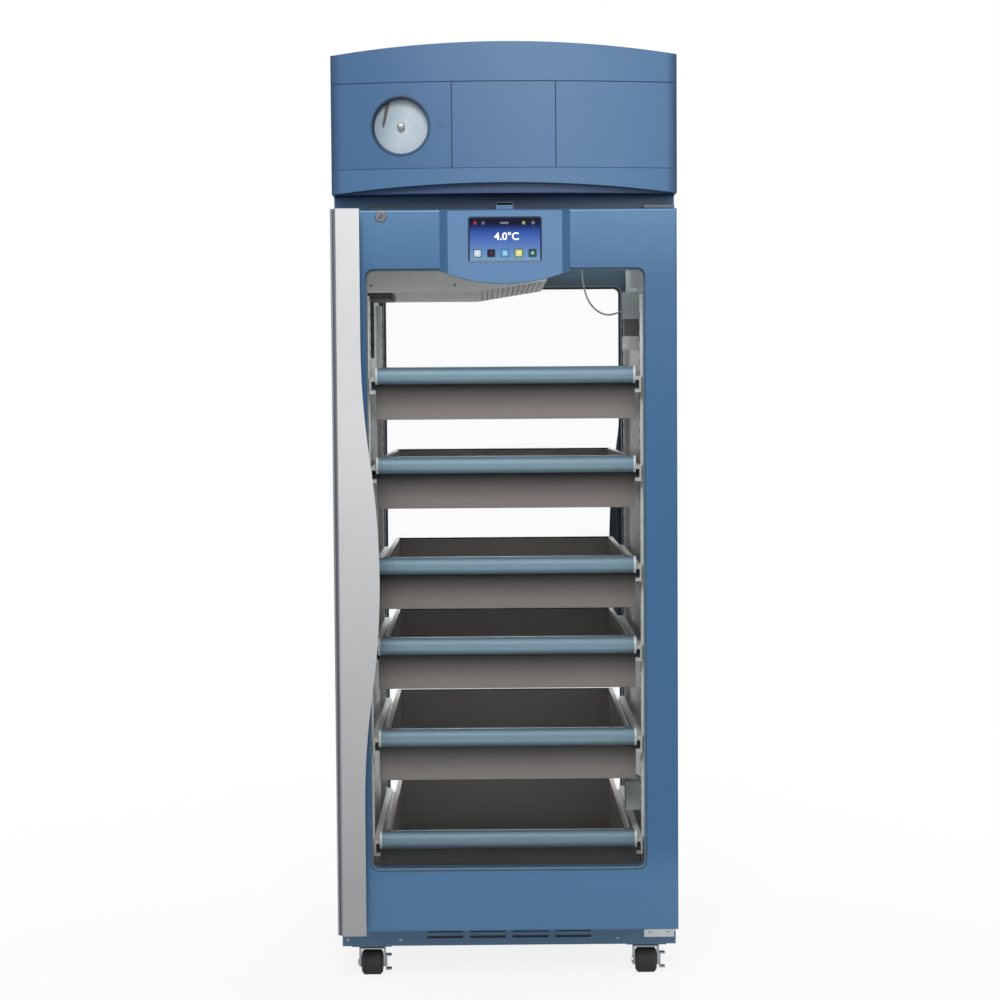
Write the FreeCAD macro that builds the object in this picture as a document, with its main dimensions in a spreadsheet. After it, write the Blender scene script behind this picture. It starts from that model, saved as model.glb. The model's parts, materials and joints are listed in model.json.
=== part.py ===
import FreeCAD, Part
import os
import re
from math import asin, cos, pi, sin

V = FreeCAD.Vector
doc = FreeCAD.newDocument("BloodBankRefrigerator")

# Driving sizes, in millimetres. The front faces -Y, +Z is up, the origin is on the floor.
SIZES = {
    # Foamed cabinet
    "cabinet_width": 737, "cabinet_depth": 686, "cabinet_floor": 112, "cabinet_height": 1600,
    "shell_sheet": 1.5, "liner_sheet": 1.2, "side_insulation": 57.5,
    "floor_insulation": 78, "roof_insulation": 72,
    # Doors
    "door_foot_gap": 8, "door_head_gap": 30, "door_thickness": 60, "gasket_space": 10,
    "stile_width": 68.5, "bottom_rail": 132, "top_rail": 126, "window_corner": 18,
    "door_edge_radius": 5, "glass_pack": 24, "glass_pane": 4, "glass_rebate": 18,
    "glass_inset": 14, "spacer_width": 12, "gasket_inset": 25, "gasket_width": 16,
    "fit_gap": 0.3,
    # Door handles
    "handle_stand_off": 33, "handle_sheet": 3, "handle_width": 62.5, "handle_bevel": 12.5,
    "handle_side_depth": 28, "handle_bulge": 36, "handle_bulge_height": 770,
    "handle_curve_up": 510, "handle_curve_down": 490,
    # Hinges, locks and keepers
    "hinge_inset": 16.5, "hinge_setback": 28, "hinge_pin": 12, "pin_depth": 24,
    "hinge_plate": 6, "hinge_plate_width": 66, "hinge_flange": 26,
    "lock_inset": 104, "lock_drop": 15, "lock_barrel": 19, "lock_head": 22, "lock_head_proud": 3,
    "key_slot": 2, "cam_length": 30, "cam_width": 9, "cam_sheet": 3,
    "keeper_width": 54, "keeper_height": 8, "keeper_sheet": 3, "keeper_gap": 2.5, "keeper_foot": 12,
    "cam_space": 1, "hinge_plate_lift": 2, "hinge_plate_edge": 4, "upper_flange": 12,
    # Display
    "display_width": 279, "display_front_width": 243, "display_height": 160, "display_depth": 32,
    "display_sag": 28, "display_corner": 20, "screen_width": 153, "screen_height": 92, "screen_drop": 67,
    "screen_sheet": 3, "screen_recess": 0.7,
    "display_hook_width": 36, "display_hook_height": 14, "display_hook_depth": 22,
    "display_hook_back": 6, "display_taper": 6,
    # Machine compartment and its bowed fronts
    "header_height": 295, "header_arch": 23, "header_bow": 38, "fascia_wall": 4, "fascia_lift": 2,
    "lip_height": 27, "lip_arch": 21, "lip_setback": 16, "band_foot": 53, "band_height": 183,
    "panel_sheet": 2, "panel_recess": 1.5, "panel_gap": 2, "panel_border": 10,
    "left_seam": 257.5, "right_seam": 259.5, "mullion": 14,
    "louvre_height": 6, "louvre_pitch": 16, "louvre_length": 200, "louvre_count": 9,
    # Chart recorder
    "chart_window": 122, "chart_from_side": 149.5, "chart_rise": 144, "chart_diameter": 152,
    "chart_sheet": 1, "recorder_width": 186, "recorder_height": 186, "recorder_proud": 3,
    "recorder_sheet": 3, "spindle": 6, "hub_diameter": 14, "hub_length": 6,
    "pen_width": 4, "pen_sheet": 1.2, "pen_lift": 2.4, "pen_pivot_side": 21, "pen_pivot_rise": 82,
    "pen_reach_side": 18, "pen_reach_drop": 85, "pen_boss": 10, "pen_post": 4,
    # Base and castors
    "skirt_height": 42, "base_sheet": 3, "slot_length": 79, "slot_pitch": 94.5, "slot_height": 5.5,
    "slot_count": 4, "slot_low_drop": 23, "slot_high_drop": 10, "pad_size": 112, "pad_sheet": 4,
    "castor_side_inset": 64.5, "castor_end_inset": 48, "castor_plate": 88, "castor_plate_sheet": 3,
    "wheel_diameter": 56, "wheel_width": 46, "tread_width": 36, "wheel_side_diameter": 44,
    "castor_trail": 22, "axle": 8, "fork_gap": 2, "fork_sheet": 4, "fork_crown": 3,
    "fork_clearance": 2.5, "leg_width": 22, "race_diameter": 40, "king_pin": 10, "king_pin_depth": 6,
    "lever_sheet": 3, "lever_height": 34, "lever_width": 16, "pedal_length": 13, "pedal_sheet": 3,
    # Drawers and slides
    "pilaster_width": 22, "pilaster_depth": 12, "pilaster_wall": 2, "pilaster_inset": 83,
    "pilaster_foot": 4, "pilaster_head": 8, "rail_setback": 5,
    "rail_depth": 13.7, "rail_height": 36, "rail_back_space": 47, "groove_depth": 9.7,
    "groove_height": 18.6, "rail_lift": 57, "bin_side_space": 14.3, "bin_flange": 9,
    "bin_sheet": 1.5, "bin_height": 114, "bin_back_space": 53, "bin_setback": 40,
    "grip_height": 36, "grip_depth": 27, "grip_radius": 24, "grip_wall": 2.5, "grip_cap": 4.5,
    "grip_back": 1.5, "grip_back_height": 12, "grip_end_gap": 0.8,
    "first_drawer": 14, "top_drawer_space": 68,
    "pitch_two": 228, "pitch_three": 204, "pitch_four": 178, "pitch_five": 222, "pitch_six": 196,
    # Evaporator, lights and probes
    "cover_width": 406, "cover_depth": 480, "cover_height": 126, "cover_sheet": 1.5,
    "cover_flat": 250, "cover_end_rise": 25,
    "coil_width": 200, "coil_depth": 220, "coil_height": 80, "coil_hang": 12, "coil_inset": 24,
    "evaporator_fan": 88, "fan_hub": 30, "fan_blade": 1.5, "fan_motor": 50, "motor_length": 40,
    "fan_from_end": 60, "fan_width": 18, "shaft": 6, "blade_count": 5, "blade_tilt": 32,
    "outlet_gap": 2, "motor_bracket": 20,
    "light_width": 22, "light_height": 12, "light_inset": 16, "light_near_gap": 8, "light_end_gap": 12,
    "bottle_width": 45, "bottle_depth": 50, "bottle_height": 40, "holder_height": 59,
    "upper_bottle_drop": 226, "lower_bottle_rise": 154, "lower_bottle_height": 61,
    "lower_flange": 5, "bottle_front": 143, "bottle_side_gap": 2, "bottle_face_gap": 3,
    "lower_bottle_gap": 6, "lead_diameter": 4,
    # Machinery on the cabinet roof
    "compressor_diameter": 170, "compressor_height": 150, "compressor_dome": 36,
    "compressor_side": 185, "compressor_back": 70, "foot_plate": 3, "foot_height": 10,
    "foot_diameter": 24, "foot_span": 170,
    "condenser_width": 300, "condenser_depth": 44, "condenser_height": 236, "condenser_side": 165,
    "condenser_back": 226, "condenser_fins": 15, "condenser_passes": 5, "fin_sheet": 1, "fin_gap": 4,
    "end_plate": 2, "shroud_depth": 26, "condenser_fan": 210, "fan_clearance": 5,
    "control_width": 220, "control_depth": 150, "control_height": 120, "control_sheet": 1.5,
    "control_front": 90,
    "pipe_diameter": 8, "pipe_bend": 16, "pipe_back": 60, "suction_side": 140, "liquid_side": 110,
    "suction_rise": 64, "liquid_rise": 30, "discharge_rise": 110, "discharge_side_step": 26,
    "liquid_side_step": 26, "discharge_back_step": 6,
    "inlet_width": 50, "inlet_height": 30, "inlet_depth": 24,
}

# Points of the probe's lead, counted from the holder's side at the height of the ceiling
LEAD_STEPS = [
    (-90, 50, -0.3), (-91, 49, -28), (-89.5, 46, -74), (-85, 40, -119), (-70, 30, -156),
    (-43, 18, -176), (-20, 7, -176.5), (-1, 0.3, -168.4),
]

# Places worked out from the driving sizes
DERIVED = {
    "half_width": "cabinet_width / 2",
    "face": "cabinet_depth / 2",
    "cabinet_roof": "cabinet_floor + cabinet_height",
    "chamber_half": "half_width - side_insulation",
    "chamber_bottom": "cabinet_floor + floor_insulation",
    "chamber_top": "cabinet_roof - roof_insulation",
    "door_bottom": "cabinet_floor + door_foot_gap",
    "door_top": "cabinet_roof - door_head_gap",
    "door_back": "face + gasket_space",
    "door_front": "door_back + door_thickness",
    "window_half": "half_width - stile_width",
    "window_bottom": "door_bottom + bottom_rail",
    "window_top": "door_top - top_rail",
    "glass_front": "door_front - glass_inset",
    "hinge_side": "half_width - hinge_inset",
    "hinge_depth": "door_front - hinge_setback",
    "lock_side": "half_width - lock_inset",
    "lock_height": "door_top - lock_drop",
    "fascia_bottom": "cabinet_roof + fascia_lift",
    "header_top": "cabinet_roof + header_height",
    "bow_radius": "(half_width * half_width + header_bow * header_bow) / (2 * header_bow)",
    "bow_front": "door_front + header_bow",
    "bow_centre": "bow_radius - bow_front",
    "arch_radius": "(half_width * half_width + header_arch * header_arch) / (2 * header_arch)",
    "arch_centre": "header_top + header_arch - arch_radius",
    "lip_radius": "(half_width * half_width + lip_arch * lip_arch) / (2 * lip_arch)",
    "band_bottom": "cabinet_roof + band_foot",
    "band_top": "band_bottom + band_height",
    "chart_side": "half_width - chart_from_side",
    "chart_height": "cabinet_roof + chart_rise",
    "recorder_front": "door_front + recorder_proud",
    "skirt_bottom": "cabinet_floor - skirt_height",
    "castor_x": "half_width - castor_side_inset",
    "castor_y": "face - castor_end_inset",
    "wheel_radius": "wheel_diameter / 2",
    "fork_half": "wheel_width / 2 + fork_gap",
    "fork_outer": "fork_half + fork_sheet",
    "crown_bottom": "wheel_diameter + fork_clearance",
    "crown_top": "crown_bottom + fork_crown",
    "castor_plate_bottom": "skirt_bottom - castor_plate_sheet",
    "pilaster_face": "chamber_half - pilaster_depth",
    "rail_face": "pilaster_face - rail_depth",
    "tongue_end": "rail_face + groove_depth - fit_gap",
    "bin_half": "rail_face - bin_side_space",
    "bin_wall_half": "bin_half - bin_flange",
    "grip_half": "rail_face - grip_end_gap",
    "bin_front": "face - bin_setback",
    "bin_back": "face - bin_back_space",
    "rail_front": "bin_front - rail_setback",
    "rail_back": "face - rail_back_space",
    "groove_lift": "rail_lift + (rail_height - groove_height) / 2",
    "cover_left": "0 - chamber_half",
    "cover_right": "cover_width - chamber_half",
    "cover_bottom": "chamber_top - cover_height",
    "fan_centre": "chamber_top - (cover_height - cover_end_rise) / 2",
    "bottle_bottom": "chamber_top - upper_bottle_drop",
    "lower_bottle_bottom": "chamber_bottom + lower_bottle_rise",
    "bottle_y": "face - bottle_front",
    "drawer_stack": "bottle_bottom - top_drawer_space - bin_height - chamber_bottom - first_drawer",
    "pitch_sum": "pitch_two + pitch_three + pitch_four + pitch_five + pitch_six",
}


def add_sheet(name, cells):
    """Write one alias a row: its name beside its value or formula."""
    sheet = doc.addObject("Spreadsheet::Sheet", name)
    for row, (alias, text) in enumerate(cells.items(), start=1):
        sheet.set(f"A{row}", alias)
        sheet.set(f"B{row}", str(text))
        sheet.setAlias(f"B{row}", alias)
    return sheet


def bound(formula):
    """Point every size named in a formula to its cell."""
    def cell(match):
        word = match.group(0)
        if word in SIZES:
            return "Sizes." + word
        return "Places." + word if word in DERIVED else word
    return re.sub(r"[a-z_]+", cell, str(formula))


sizes = add_sheet("Sizes", SIZES)
places = add_sheet("Places", {name: "=" + bound(text) for name, text in DERIVED.items()})
doc.recompute()


def size(name):
    """The present value of a size or a place."""
    return float((sizes if name in SIZES else places).get(name))


nodes = []


def node(obj, name, turned=False):
    """Name a finished sub-part. A turned one faces the back of the cabinet."""
    obj.Label = name
    if turned:
        obj.Placement = FreeCAD.Placement(V(0, 0, 0), FreeCAD.Rotation(V(0, 0, 1), 180))
    nodes.append(obj)
    return obj


def bind(obj, **formulas):
    for prop, formula in formulas.items():
        obj.setExpression(prop.replace("__", "."), bound(formula))
    return obj


def set_base(obj, x, y, z):
    for axis, formula in zip("xyz", (x, y, z)):
        obj.setExpression("Placement.Base." + axis, bound(formula))
    return obj


def block(x, y, z):
    """A box between two formulas along each axis."""
    obj = doc.addObject("Part::Box", "Block")
    spans = [f"({span[1]}) - ({span[0]})" for span in (x, y, z)]
    bind(obj, Length=spans[0], Width=spans[1], Height=spans[2])
    return set_base(obj, x[0], y[0], z[0])


TURN = {
    "X": FreeCAD.Rotation(V(0, 1, 0), 90),
    "Y": FreeCAD.Rotation(V(1, 0, 0), -90),
    "Z": FreeCAD.Rotation(),
}


def rod(radius, length, at, axis="Z"):
    """A cylinder that starts at a point and runs along one positive axis."""
    obj = doc.addObject("Part::Cylinder", "Rod")
    obj.Placement.Rotation = TURN[axis]
    bind(obj, Radius=radius, Height=length)
    return set_base(obj, *at)


def cone(near, far, length, at, axis="Z"):
    obj = doc.addObject("Part::Cone", "Taper")
    obj.Placement.Rotation = TURN[axis]
    bind(obj, Radius1=near, Radius2=far, Height=length)
    return set_base(obj, *at)


def fuse(*parts):
    obj = doc.addObject("Part::MultiFuse", "Joined")
    obj.Shapes = list(parts)
    return obj


def common(*parts):
    obj = doc.addObject("Part::MultiCommon", "Overlap")
    obj.Shapes = list(parts)
    return obj


def cut(base, *tools):
    obj = doc.addObject("Part::Cut", "Cut")
    obj.Base = base
    obj.Tool = tools[0] if len(tools) == 1 else fuse(*tools)
    return obj


def group(*parts):
    obj = doc.addObject("Part::Compound", "Set")
    obj.Links = list(parts)
    return obj


def rounded(base, radius_name, keep):
    """Round the straight edges of a base that keep() picks by their middle and direction."""
    doc.recompute()
    edges = []
    for number, edge in enumerate(base.Shape.Edges, start=1):
        if edge.Curve.TypeId == "Part::GeomLine" and keep(edge.CenterOfMass, edge.Curve.Direction):
            edges.append((number, size(radius_name), size(radius_name)))
    obj = doc.addObject("Part::Fillet", "Rounded")
    obj.Base = base
    obj.Edges = edges
    return obj


def formed(name, shape):
    obj = doc.addObject("Part::Feature", name)
    obj.Shape = shape
    return obj


def both(formula):
    """The span from minus to plus a formula."""
    return (f"0 - ({formula})", formula)


def outline(points):
    """Straight and arc edges: a point alone ends a line, a pair is an arc's middle and end."""
    edges = []
    here = points[0]
    for step in points[1:] + [points[0]]:
        if isinstance(step, tuple):
            edges.append(Part.Arc(here, step[0], step[1]).toShape())
            here = step[1]
        elif (step - here).Length > 1e-6:
            edges.append(Part.LineSegment(here, step).toShape())
            here = step
    return Part.Face(Part.Wire(edges))


# Foamed cabinet: shell, insulation and liner


def make_cabinet():
    opening_x = both("chamber_half + liner_sheet")
    opening_z = ("chamber_bottom - liner_sheet", "chamber_top + liner_sheet")

    def pipe_bores():
        bores = []
        for side in ("suction_side", "liquid_side"):
            at = (f"0 - {side}", "pipe_back", "chamber_top - 1")
            bores.append(rod("pipe_diameter / 2 + fit_gap", "roof_insulation + 2", at))
        return bores

    shell = cut(
        block(both("half_width"), both("face"), ("cabinet_floor", "cabinet_roof")),
        block(both("half_width - shell_sheet"), both("face - shell_sheet"),
              ("cabinet_floor + shell_sheet", "cabinet_roof - shell_sheet")),
        block(opening_x, both("face + 1"), opening_z), *pipe_bores())
    node(shell, "outer_shell")
    foam = cut(
        block(both("half_width - shell_sheet"), both("face - shell_sheet"),
              ("cabinet_floor + shell_sheet", "cabinet_roof - shell_sheet")),
        block(opening_x, both("face + 1"), opening_z), *pipe_bores())
    node(foam, "insulation_foam")
    liner = cut(
        block(opening_x, both("face"), opening_z),
        block(both("chamber_half"), both("face + 1"), ("chamber_bottom", "chamber_top")), *pipe_bores())
    node(liner, "inner_liner")


# Doors: frame, glass, gasket, handle and lock


def window(grow, y):
    """The window's block, larger by a formula on all sides."""
    return block(both(f"window_half + {grow}"), y, (f"window_bottom - ({grow})", f"window_top + {grow}"))


def make_frame(name, turned):
    outer = block(both("half_width"), ("0 - door_front", "0 - door_back"), ("door_bottom", "door_top"))
    front = -size("door_front")
    outer = rounded(outer, "door_edge_radius", lambda at, way: abs(at.y - front) < 0.01)
    opening = window("0", ("0 - door_front - 1", "1 - door_back"))
    opening = rounded(opening, "window_corner", lambda at, way: abs(way.y) > 0.9)
    groove = window("glass_rebate", ("0 - glass_front", "glass_pack - glass_front"))
    pin_top, pin_low = (
        rod("hinge_pin / 2 + fit_gap", "pin_depth + 1", ("hinge_side", "0 - hinge_depth", foot))
        for foot in ("door_top - pin_depth", "door_bottom - 1"))
    bore = rod("lock_barrel / 2 + fit_gap", "door_thickness + 2",
               ("0 - lock_side", "0 - door_front - 1", "lock_height"), "Y")
    node(cut(outer, opening, groove, pin_top, pin_low, bore), name, turned)


def make_glass(name, turned):
    grow = "glass_rebate - fit_gap"
    front = ("fit_gap - glass_front", "fit_gap + glass_pane - glass_front")
    back = ("glass_pack - fit_gap - glass_pane - glass_front", "glass_pack - fit_gap - glass_front")
    between = (front[1], back[0])
    through = (f"{between[0]} - 1", f"{between[1]} + 1")
    spacer = cut(window(grow, between), window(f"{grow} - spacer_width", through))
    node(group(window(grow, front), spacer, window(grow, back)), name, turned)


def make_gasket(name, turned):
    y = ("0 - door_back", "0 - face - fit_gap")
    wide = ("door_bottom + gasket_inset", "door_top - gasket_inset")
    narrow = ("door_bottom + gasket_inset + gasket_width", "door_top - gasket_inset - gasket_width")
    ring = cut(
        block(both("half_width - gasket_inset"), y, wide),
        block(both("half_width - gasket_inset - gasket_width"), ("0 - door_back - 1", "1 - face"), narrow))
    node(ring, name, turned)


def make_handle(name, turned):
    """A full-height plate whose inner edge swells in two tangent arcs each way, on a bevelled side."""
    sheet = size("handle_sheet")
    side = -size("half_width") - sheet
    front = -size("door_front") - size("handle_stand_off")
    low, high = size("door_bottom"), size("door_top")
    edge = side + size("handle_width")
    bulge = size("handle_bulge")
    peak = low + size("handle_bulge_height")

    def swell(height, toward):
        """The arcs of one half of the bulge, from the straight edge to the peak."""
        radius = (bulge ** 2 + height ** 2) / (4 * bulge)
        half_turn = asin(height / 2 / radius) / 2
        start = peak + toward * height
        across, along = radius - radius * cos(half_turn), toward * radius * sin(half_turn)
        halfway = V(edge + bulge / 2, front, peak + toward * height / 2)
        first = (V(edge + across, front, start - along), halfway)
        second = (V(edge + bulge - across, front, peak + along), V(edge + bulge, front, peak))
        return V(edge, front, start), first, second

    low_start, low_first, low_second = swell(size("handle_curve_down"), -1)
    high_start, high_first, high_second = swell(size("handle_curve_up"), 1)
    bevel = size("handle_bevel")
    points = [
        V(side + bevel, front, low), V(edge, front, low), low_start, low_first, low_second,
        (high_second[0], high_first[1]), (high_first[0], high_start),
        V(edge, front, high), V(side + bevel, front, high)]
    plate = outline(points).extrude(V(0, sheet, 0))
    back = -size("door_front") + size("handle_side_depth")
    bevel_depth = front + bevel * 1.1
    section = outline([
        V(side + bevel, front, low), V(side, bevel_depth, low), V(side, back, low),
        V(side + sheet, back, low), V(side + sheet, bevel_depth + 1, low),
        V(side + bevel + 1, front + sheet, low), V(side + bevel + 1, front, low)])
    handle = plate.fuse(section.extrude(V(0, 0, high - low))).removeSplitter()
    node(formed("Handle", handle), name, turned)


def make_lock(name, turned):
    at = ("0 - lock_side", "0 - door_front - lock_head_proud", "lock_height")
    head = rod("lock_head / 2", "lock_head_proud - fit_gap", at, "Y")
    barrel = rod("lock_barrel / 2", "lock_head_proud + door_thickness + fit_gap + cam_sheet", at, "Y")
    cam = block(("0 - lock_side - cam_length", "0 - lock_side"),
                ("fit_gap - door_back", "fit_gap + cam_sheet - door_back"),
                ("lock_height - cam_width / 2", "lock_height + cam_width / 2"))
    slot = block(("0 - lock_side - key_slot / 2", "key_slot / 2 - lock_side"),
                 ("0 - door_front - lock_head_proud - 1", "0 - door_front"),
                 ("lock_height - lock_barrel / 3", "lock_height + lock_barrel / 3"))
    node(cut(fuse(head, barrel, cam), slot), name, turned)


def make_hardware():
    """Hinge plates with their pins above and below each door, and the keeper that the lock's cam enters."""
    sets = []
    for turned in (False, True):
        x = ("half_width - hinge_plate_edge - hinge_plate_width", "half_width - hinge_plate_edge")
        plate_y = ("0 - hinge_depth - hinge_pin", "0 - face")
        flange_y = ("0 - face - hinge_plate / 2", "0 - face")
        plate_foot = "door_top + hinge_plate_lift"
        pin_foot = f"{plate_foot} + fit_gap - pin_depth"
        upper = fuse(
            block(x, plate_y, (plate_foot, f"{plate_foot} + hinge_plate")),
            block(x, flange_y, (plate_foot, f"{plate_foot} + upper_flange")),
            rod("hinge_pin / 2", "pin_depth", ("hinge_side", "0 - hinge_depth", pin_foot)))
        lower = fuse(
            block(x, plate_y, ("cabinet_floor", "cabinet_floor + hinge_plate")),
            block(x, flange_y, ("cabinet_floor - hinge_flange", "cabinet_floor + hinge_plate")),
            rod("hinge_pin / 2", "pin_depth",
                ("hinge_side", "0 - hinge_depth", "cabinet_floor + hinge_plate")))
        left = "0 - lock_side - keeper_width / 2"
        right = "keeper_width / 2 - lock_side"
        keeper_z = ("door_top + keeper_gap", "door_top + keeper_gap + keeper_height")
        front = "0 - door_back - keeper_sheet - cam_space"
        keeper = fuse(
            block((left, right), (front, f"{front} + keeper_sheet"), keeper_z),
            block((f"{right} - keeper_foot", right), (front, "0 - face"), keeper_z))
        one = group(upper, lower, keeper)
        if turned:
            one.Placement = FreeCAD.Placement(V(0, 0, 0), FreeCAD.Rotation(V(0, 0, 1), 180))
        sets.append(one)
    node(group(*sets), "hinge_plates_and_keepers")


def make_display():
    body = doc.addObject("Part::Wedge", "Bezel")
    bind(body, Xmin="0 - display_front_width / 2", Xmax="display_front_width / 2",
         X2min="0 - display_width / 2", X2max="display_width / 2",
         Ymin="0 - door_front - display_depth", Ymax="0 - door_front",
         Zmin="door_top - display_height", Zmax="door_top - display_taper",
         Z2min="door_top - display_height", Z2max="door_top")
    doc.recompute()
    sag_radius = "(display_width * display_width / 4 + display_sag * display_sag) / (2 * display_sag)"
    belly = rod(sag_radius, "display_depth + 2",
                ("0", "0 - door_front - display_depth - 1", f"door_top - display_height + {sag_radius}"), "Y")
    edges = block(both("display_width / 2"), ("0 - door_front - display_depth", "0 - door_front"),
                  ("door_top - display_height", "door_top"))
    foot = size("door_top") - size("display_height")
    edges = rounded(edges, "display_corner", lambda at, way: abs(way.y) > 0.9 and at.z < foot + 1)
    middle = "door_top - screen_drop"
    recess = "0 - door_front - display_depth"
    pocket = block(both("screen_width / 2 + fit_gap"),
                   (f"{recess} - 1", f"{recess} + screen_sheet + screen_recess"),
                   (f"{middle} - screen_height / 2 - fit_gap", f"{middle} + screen_height / 2 + fit_gap"))
    hook_front = "0 - door_front + display_hook_back"
    hook = block(both("display_hook_width / 2"), (hook_front, f"{hook_front} + display_hook_depth"),
                 ("door_top", "door_top + display_hook_height"))
    node(group(cut(common(body, belly, edges), pocket), hook), "display_housing")
    screen = block(both("screen_width / 2"),
                   (f"{recess} + screen_recess", f"{recess} + screen_recess + screen_sheet"),
                   (f"{middle} - screen_height / 2", f"{middle} + screen_height / 2"))
    node(screen, "display_screen")


def make_doors():
    for side, turned in (("front", False), ("rear", True)):
        make_frame(side + "_door_frame", turned)
        make_glass(side + "_door_glass", turned)
        make_gasket(side + "_door_gasket", turned)
        make_handle(side + "_door_handle", turned)
        make_lock(side + "_door_lock", turned)
    make_hardware()
    make_display()


# Machine compartment: bowed fronts, housing and panels


def bow(inset, z=("fascia_bottom - 1", "header_top + header_arch + 1")):
    """The upright cylinder of the bow, smaller by an inset."""
    return rod(f"bow_radius - ({inset})", f"({z[1]}) - ({z[0]})", ("0", "bow_centre", z[0]))


def arch(inset):
    return rod(f"arch_radius - ({inset})", "bow_front + 2", ("0", "0 - bow_front - 1", "arch_centre"), "Y")


def fascia_blank():
    """The hollow bowed front with its arched top and the arched lip under it."""
    wall = "fascia_wall"
    deep = "0 - bow_front - 1"
    outer = common(
        block(both("half_width"), (deep, "0 - face"), ("fascia_bottom", "header_top + header_arch")),
        bow("0"), arch("0"))
    inner = common(
        block(both(f"half_width - {wall}"), (deep, "1 - face"),
              ("fascia_bottom + lip_height", "header_top + header_arch")),
        bow(wall), arch(wall))
    under = common(
        block(both(f"half_width - {wall}"), (deep, "0 - face - fascia_wall"),
              ("fascia_bottom - 1", f"fascia_bottom + lip_height - {wall}")),
        bow(f"lip_setback + {wall}"))
    lip_cylinder = rod("lip_radius", "bow_front", ("0", deep, "fascia_bottom + lip_arch - lip_radius"), "Y")
    lip = cut(
        common(block(both(f"half_width - {wall}"), (deep, "0 - face"),
                     ("fascia_bottom - 1", "fascia_bottom + lip_arch")), lip_cylinder),
        bow("lip_setback"))
    return cut(outer, inner, under, lip)


def panel(x, z, clearance="0"):
    """A bowed sheet that lies in the fascia's rebate."""
    sheet = common(block(x, ("0 - bow_front - 1", "0 - face"), z), bow("panel_recess"))
    return cut(sheet, bow(f"panel_recess + panel_sheet - {clearance}"))


def inlet_block(x, grow):
    """The power inlet's block in the housing's side, beside the control box."""
    y = "0 - face + control_front + control_depth / 2"
    z = "cabinet_roof + control_height / 2"
    return block(x, (f"{y} - inlet_width / 2 - {grow}", f"{y} + inlet_width / 2 + {grow}"),
                 (f"{z} - inlet_height / 2 - {grow}", f"{z} + inlet_height / 2 + {grow}"))


def make_header():
    left, right = "left_seam - half_width", "half_width - right_seam"
    edge = "(half_width - fascia_wall)"
    rebate = cut(
        block(both(edge), ("0 - bow_front - 1", "0 - face"), ("band_bottom", "band_top")),
        bow("panel_recess + panel_sheet"))
    z_open = ("band_bottom + panel_border", "band_top - panel_border")
    y_open = ("0 - bow_front - 1", "0 - door_front + header_bow")
    spans = [(f"panel_border - {edge}", f"{left} - mullion / 2"),
             (f"{left} + mullion / 2", f"{right} - mullion / 2"),
             (f"{right} + mullion / 2", f"{edge} - panel_border")]
    holes = [block(span, y_open, z_open) for span in spans]
    node(cut(fascia_blank(), rebate, *holes), "header_fascia")

    z = ("band_bottom + panel_gap / 2", "band_top - panel_gap / 2")
    middle = panel((f"{left} + panel_gap / 2", f"{right} - panel_gap / 2"), z)
    last = panel((f"{right} + panel_gap / 2", f"{edge} - panel_gap / 2"), z)
    node(group(middle, last), "fascia_panels")
    glass_hole = rod("chart_window / 2", "bow_front",
                     ("0 - chart_side", "0 - bow_front - 1", "chart_height"), "Y")
    door = panel((f"panel_gap / 2 - {edge}", f"{left} - panel_gap / 2"), z, "fit_gap")
    node(cut(door, glass_hole), "recorder_door")

    louvres = []
    for row in range(int(size("louvre_count"))):
        low = f"band_bottom + panel_border * 2 + {row} * louvre_pitch"
        for side in (-1, 1):
            middle_x = f"{side} * (louvre_length / 2 + mullion)"
            louvres.append(block((f"{middle_x} - louvre_length / 2", f"{middle_x} + louvre_length / 2"),
                                 y_open, (low, f"{low} + louvre_height")))
    node(cut(fascia_blank(), *louvres), "rear_header_fascia", True)

    sheet = "shell_sheet"
    housing = cut(
        block(both("half_width"), both("face"), ("cabinet_roof", "header_top")),
        block(both(f"half_width - {sheet}"), (f"{sheet} - face", "face + 1"),
              ("cabinet_roof - 1", f"header_top - {sheet}")),
        inlet_block(("half_width - shell_sheet - 1", "half_width + 1"), "fit_gap"))
    node(housing, "compartment_housing")


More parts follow.
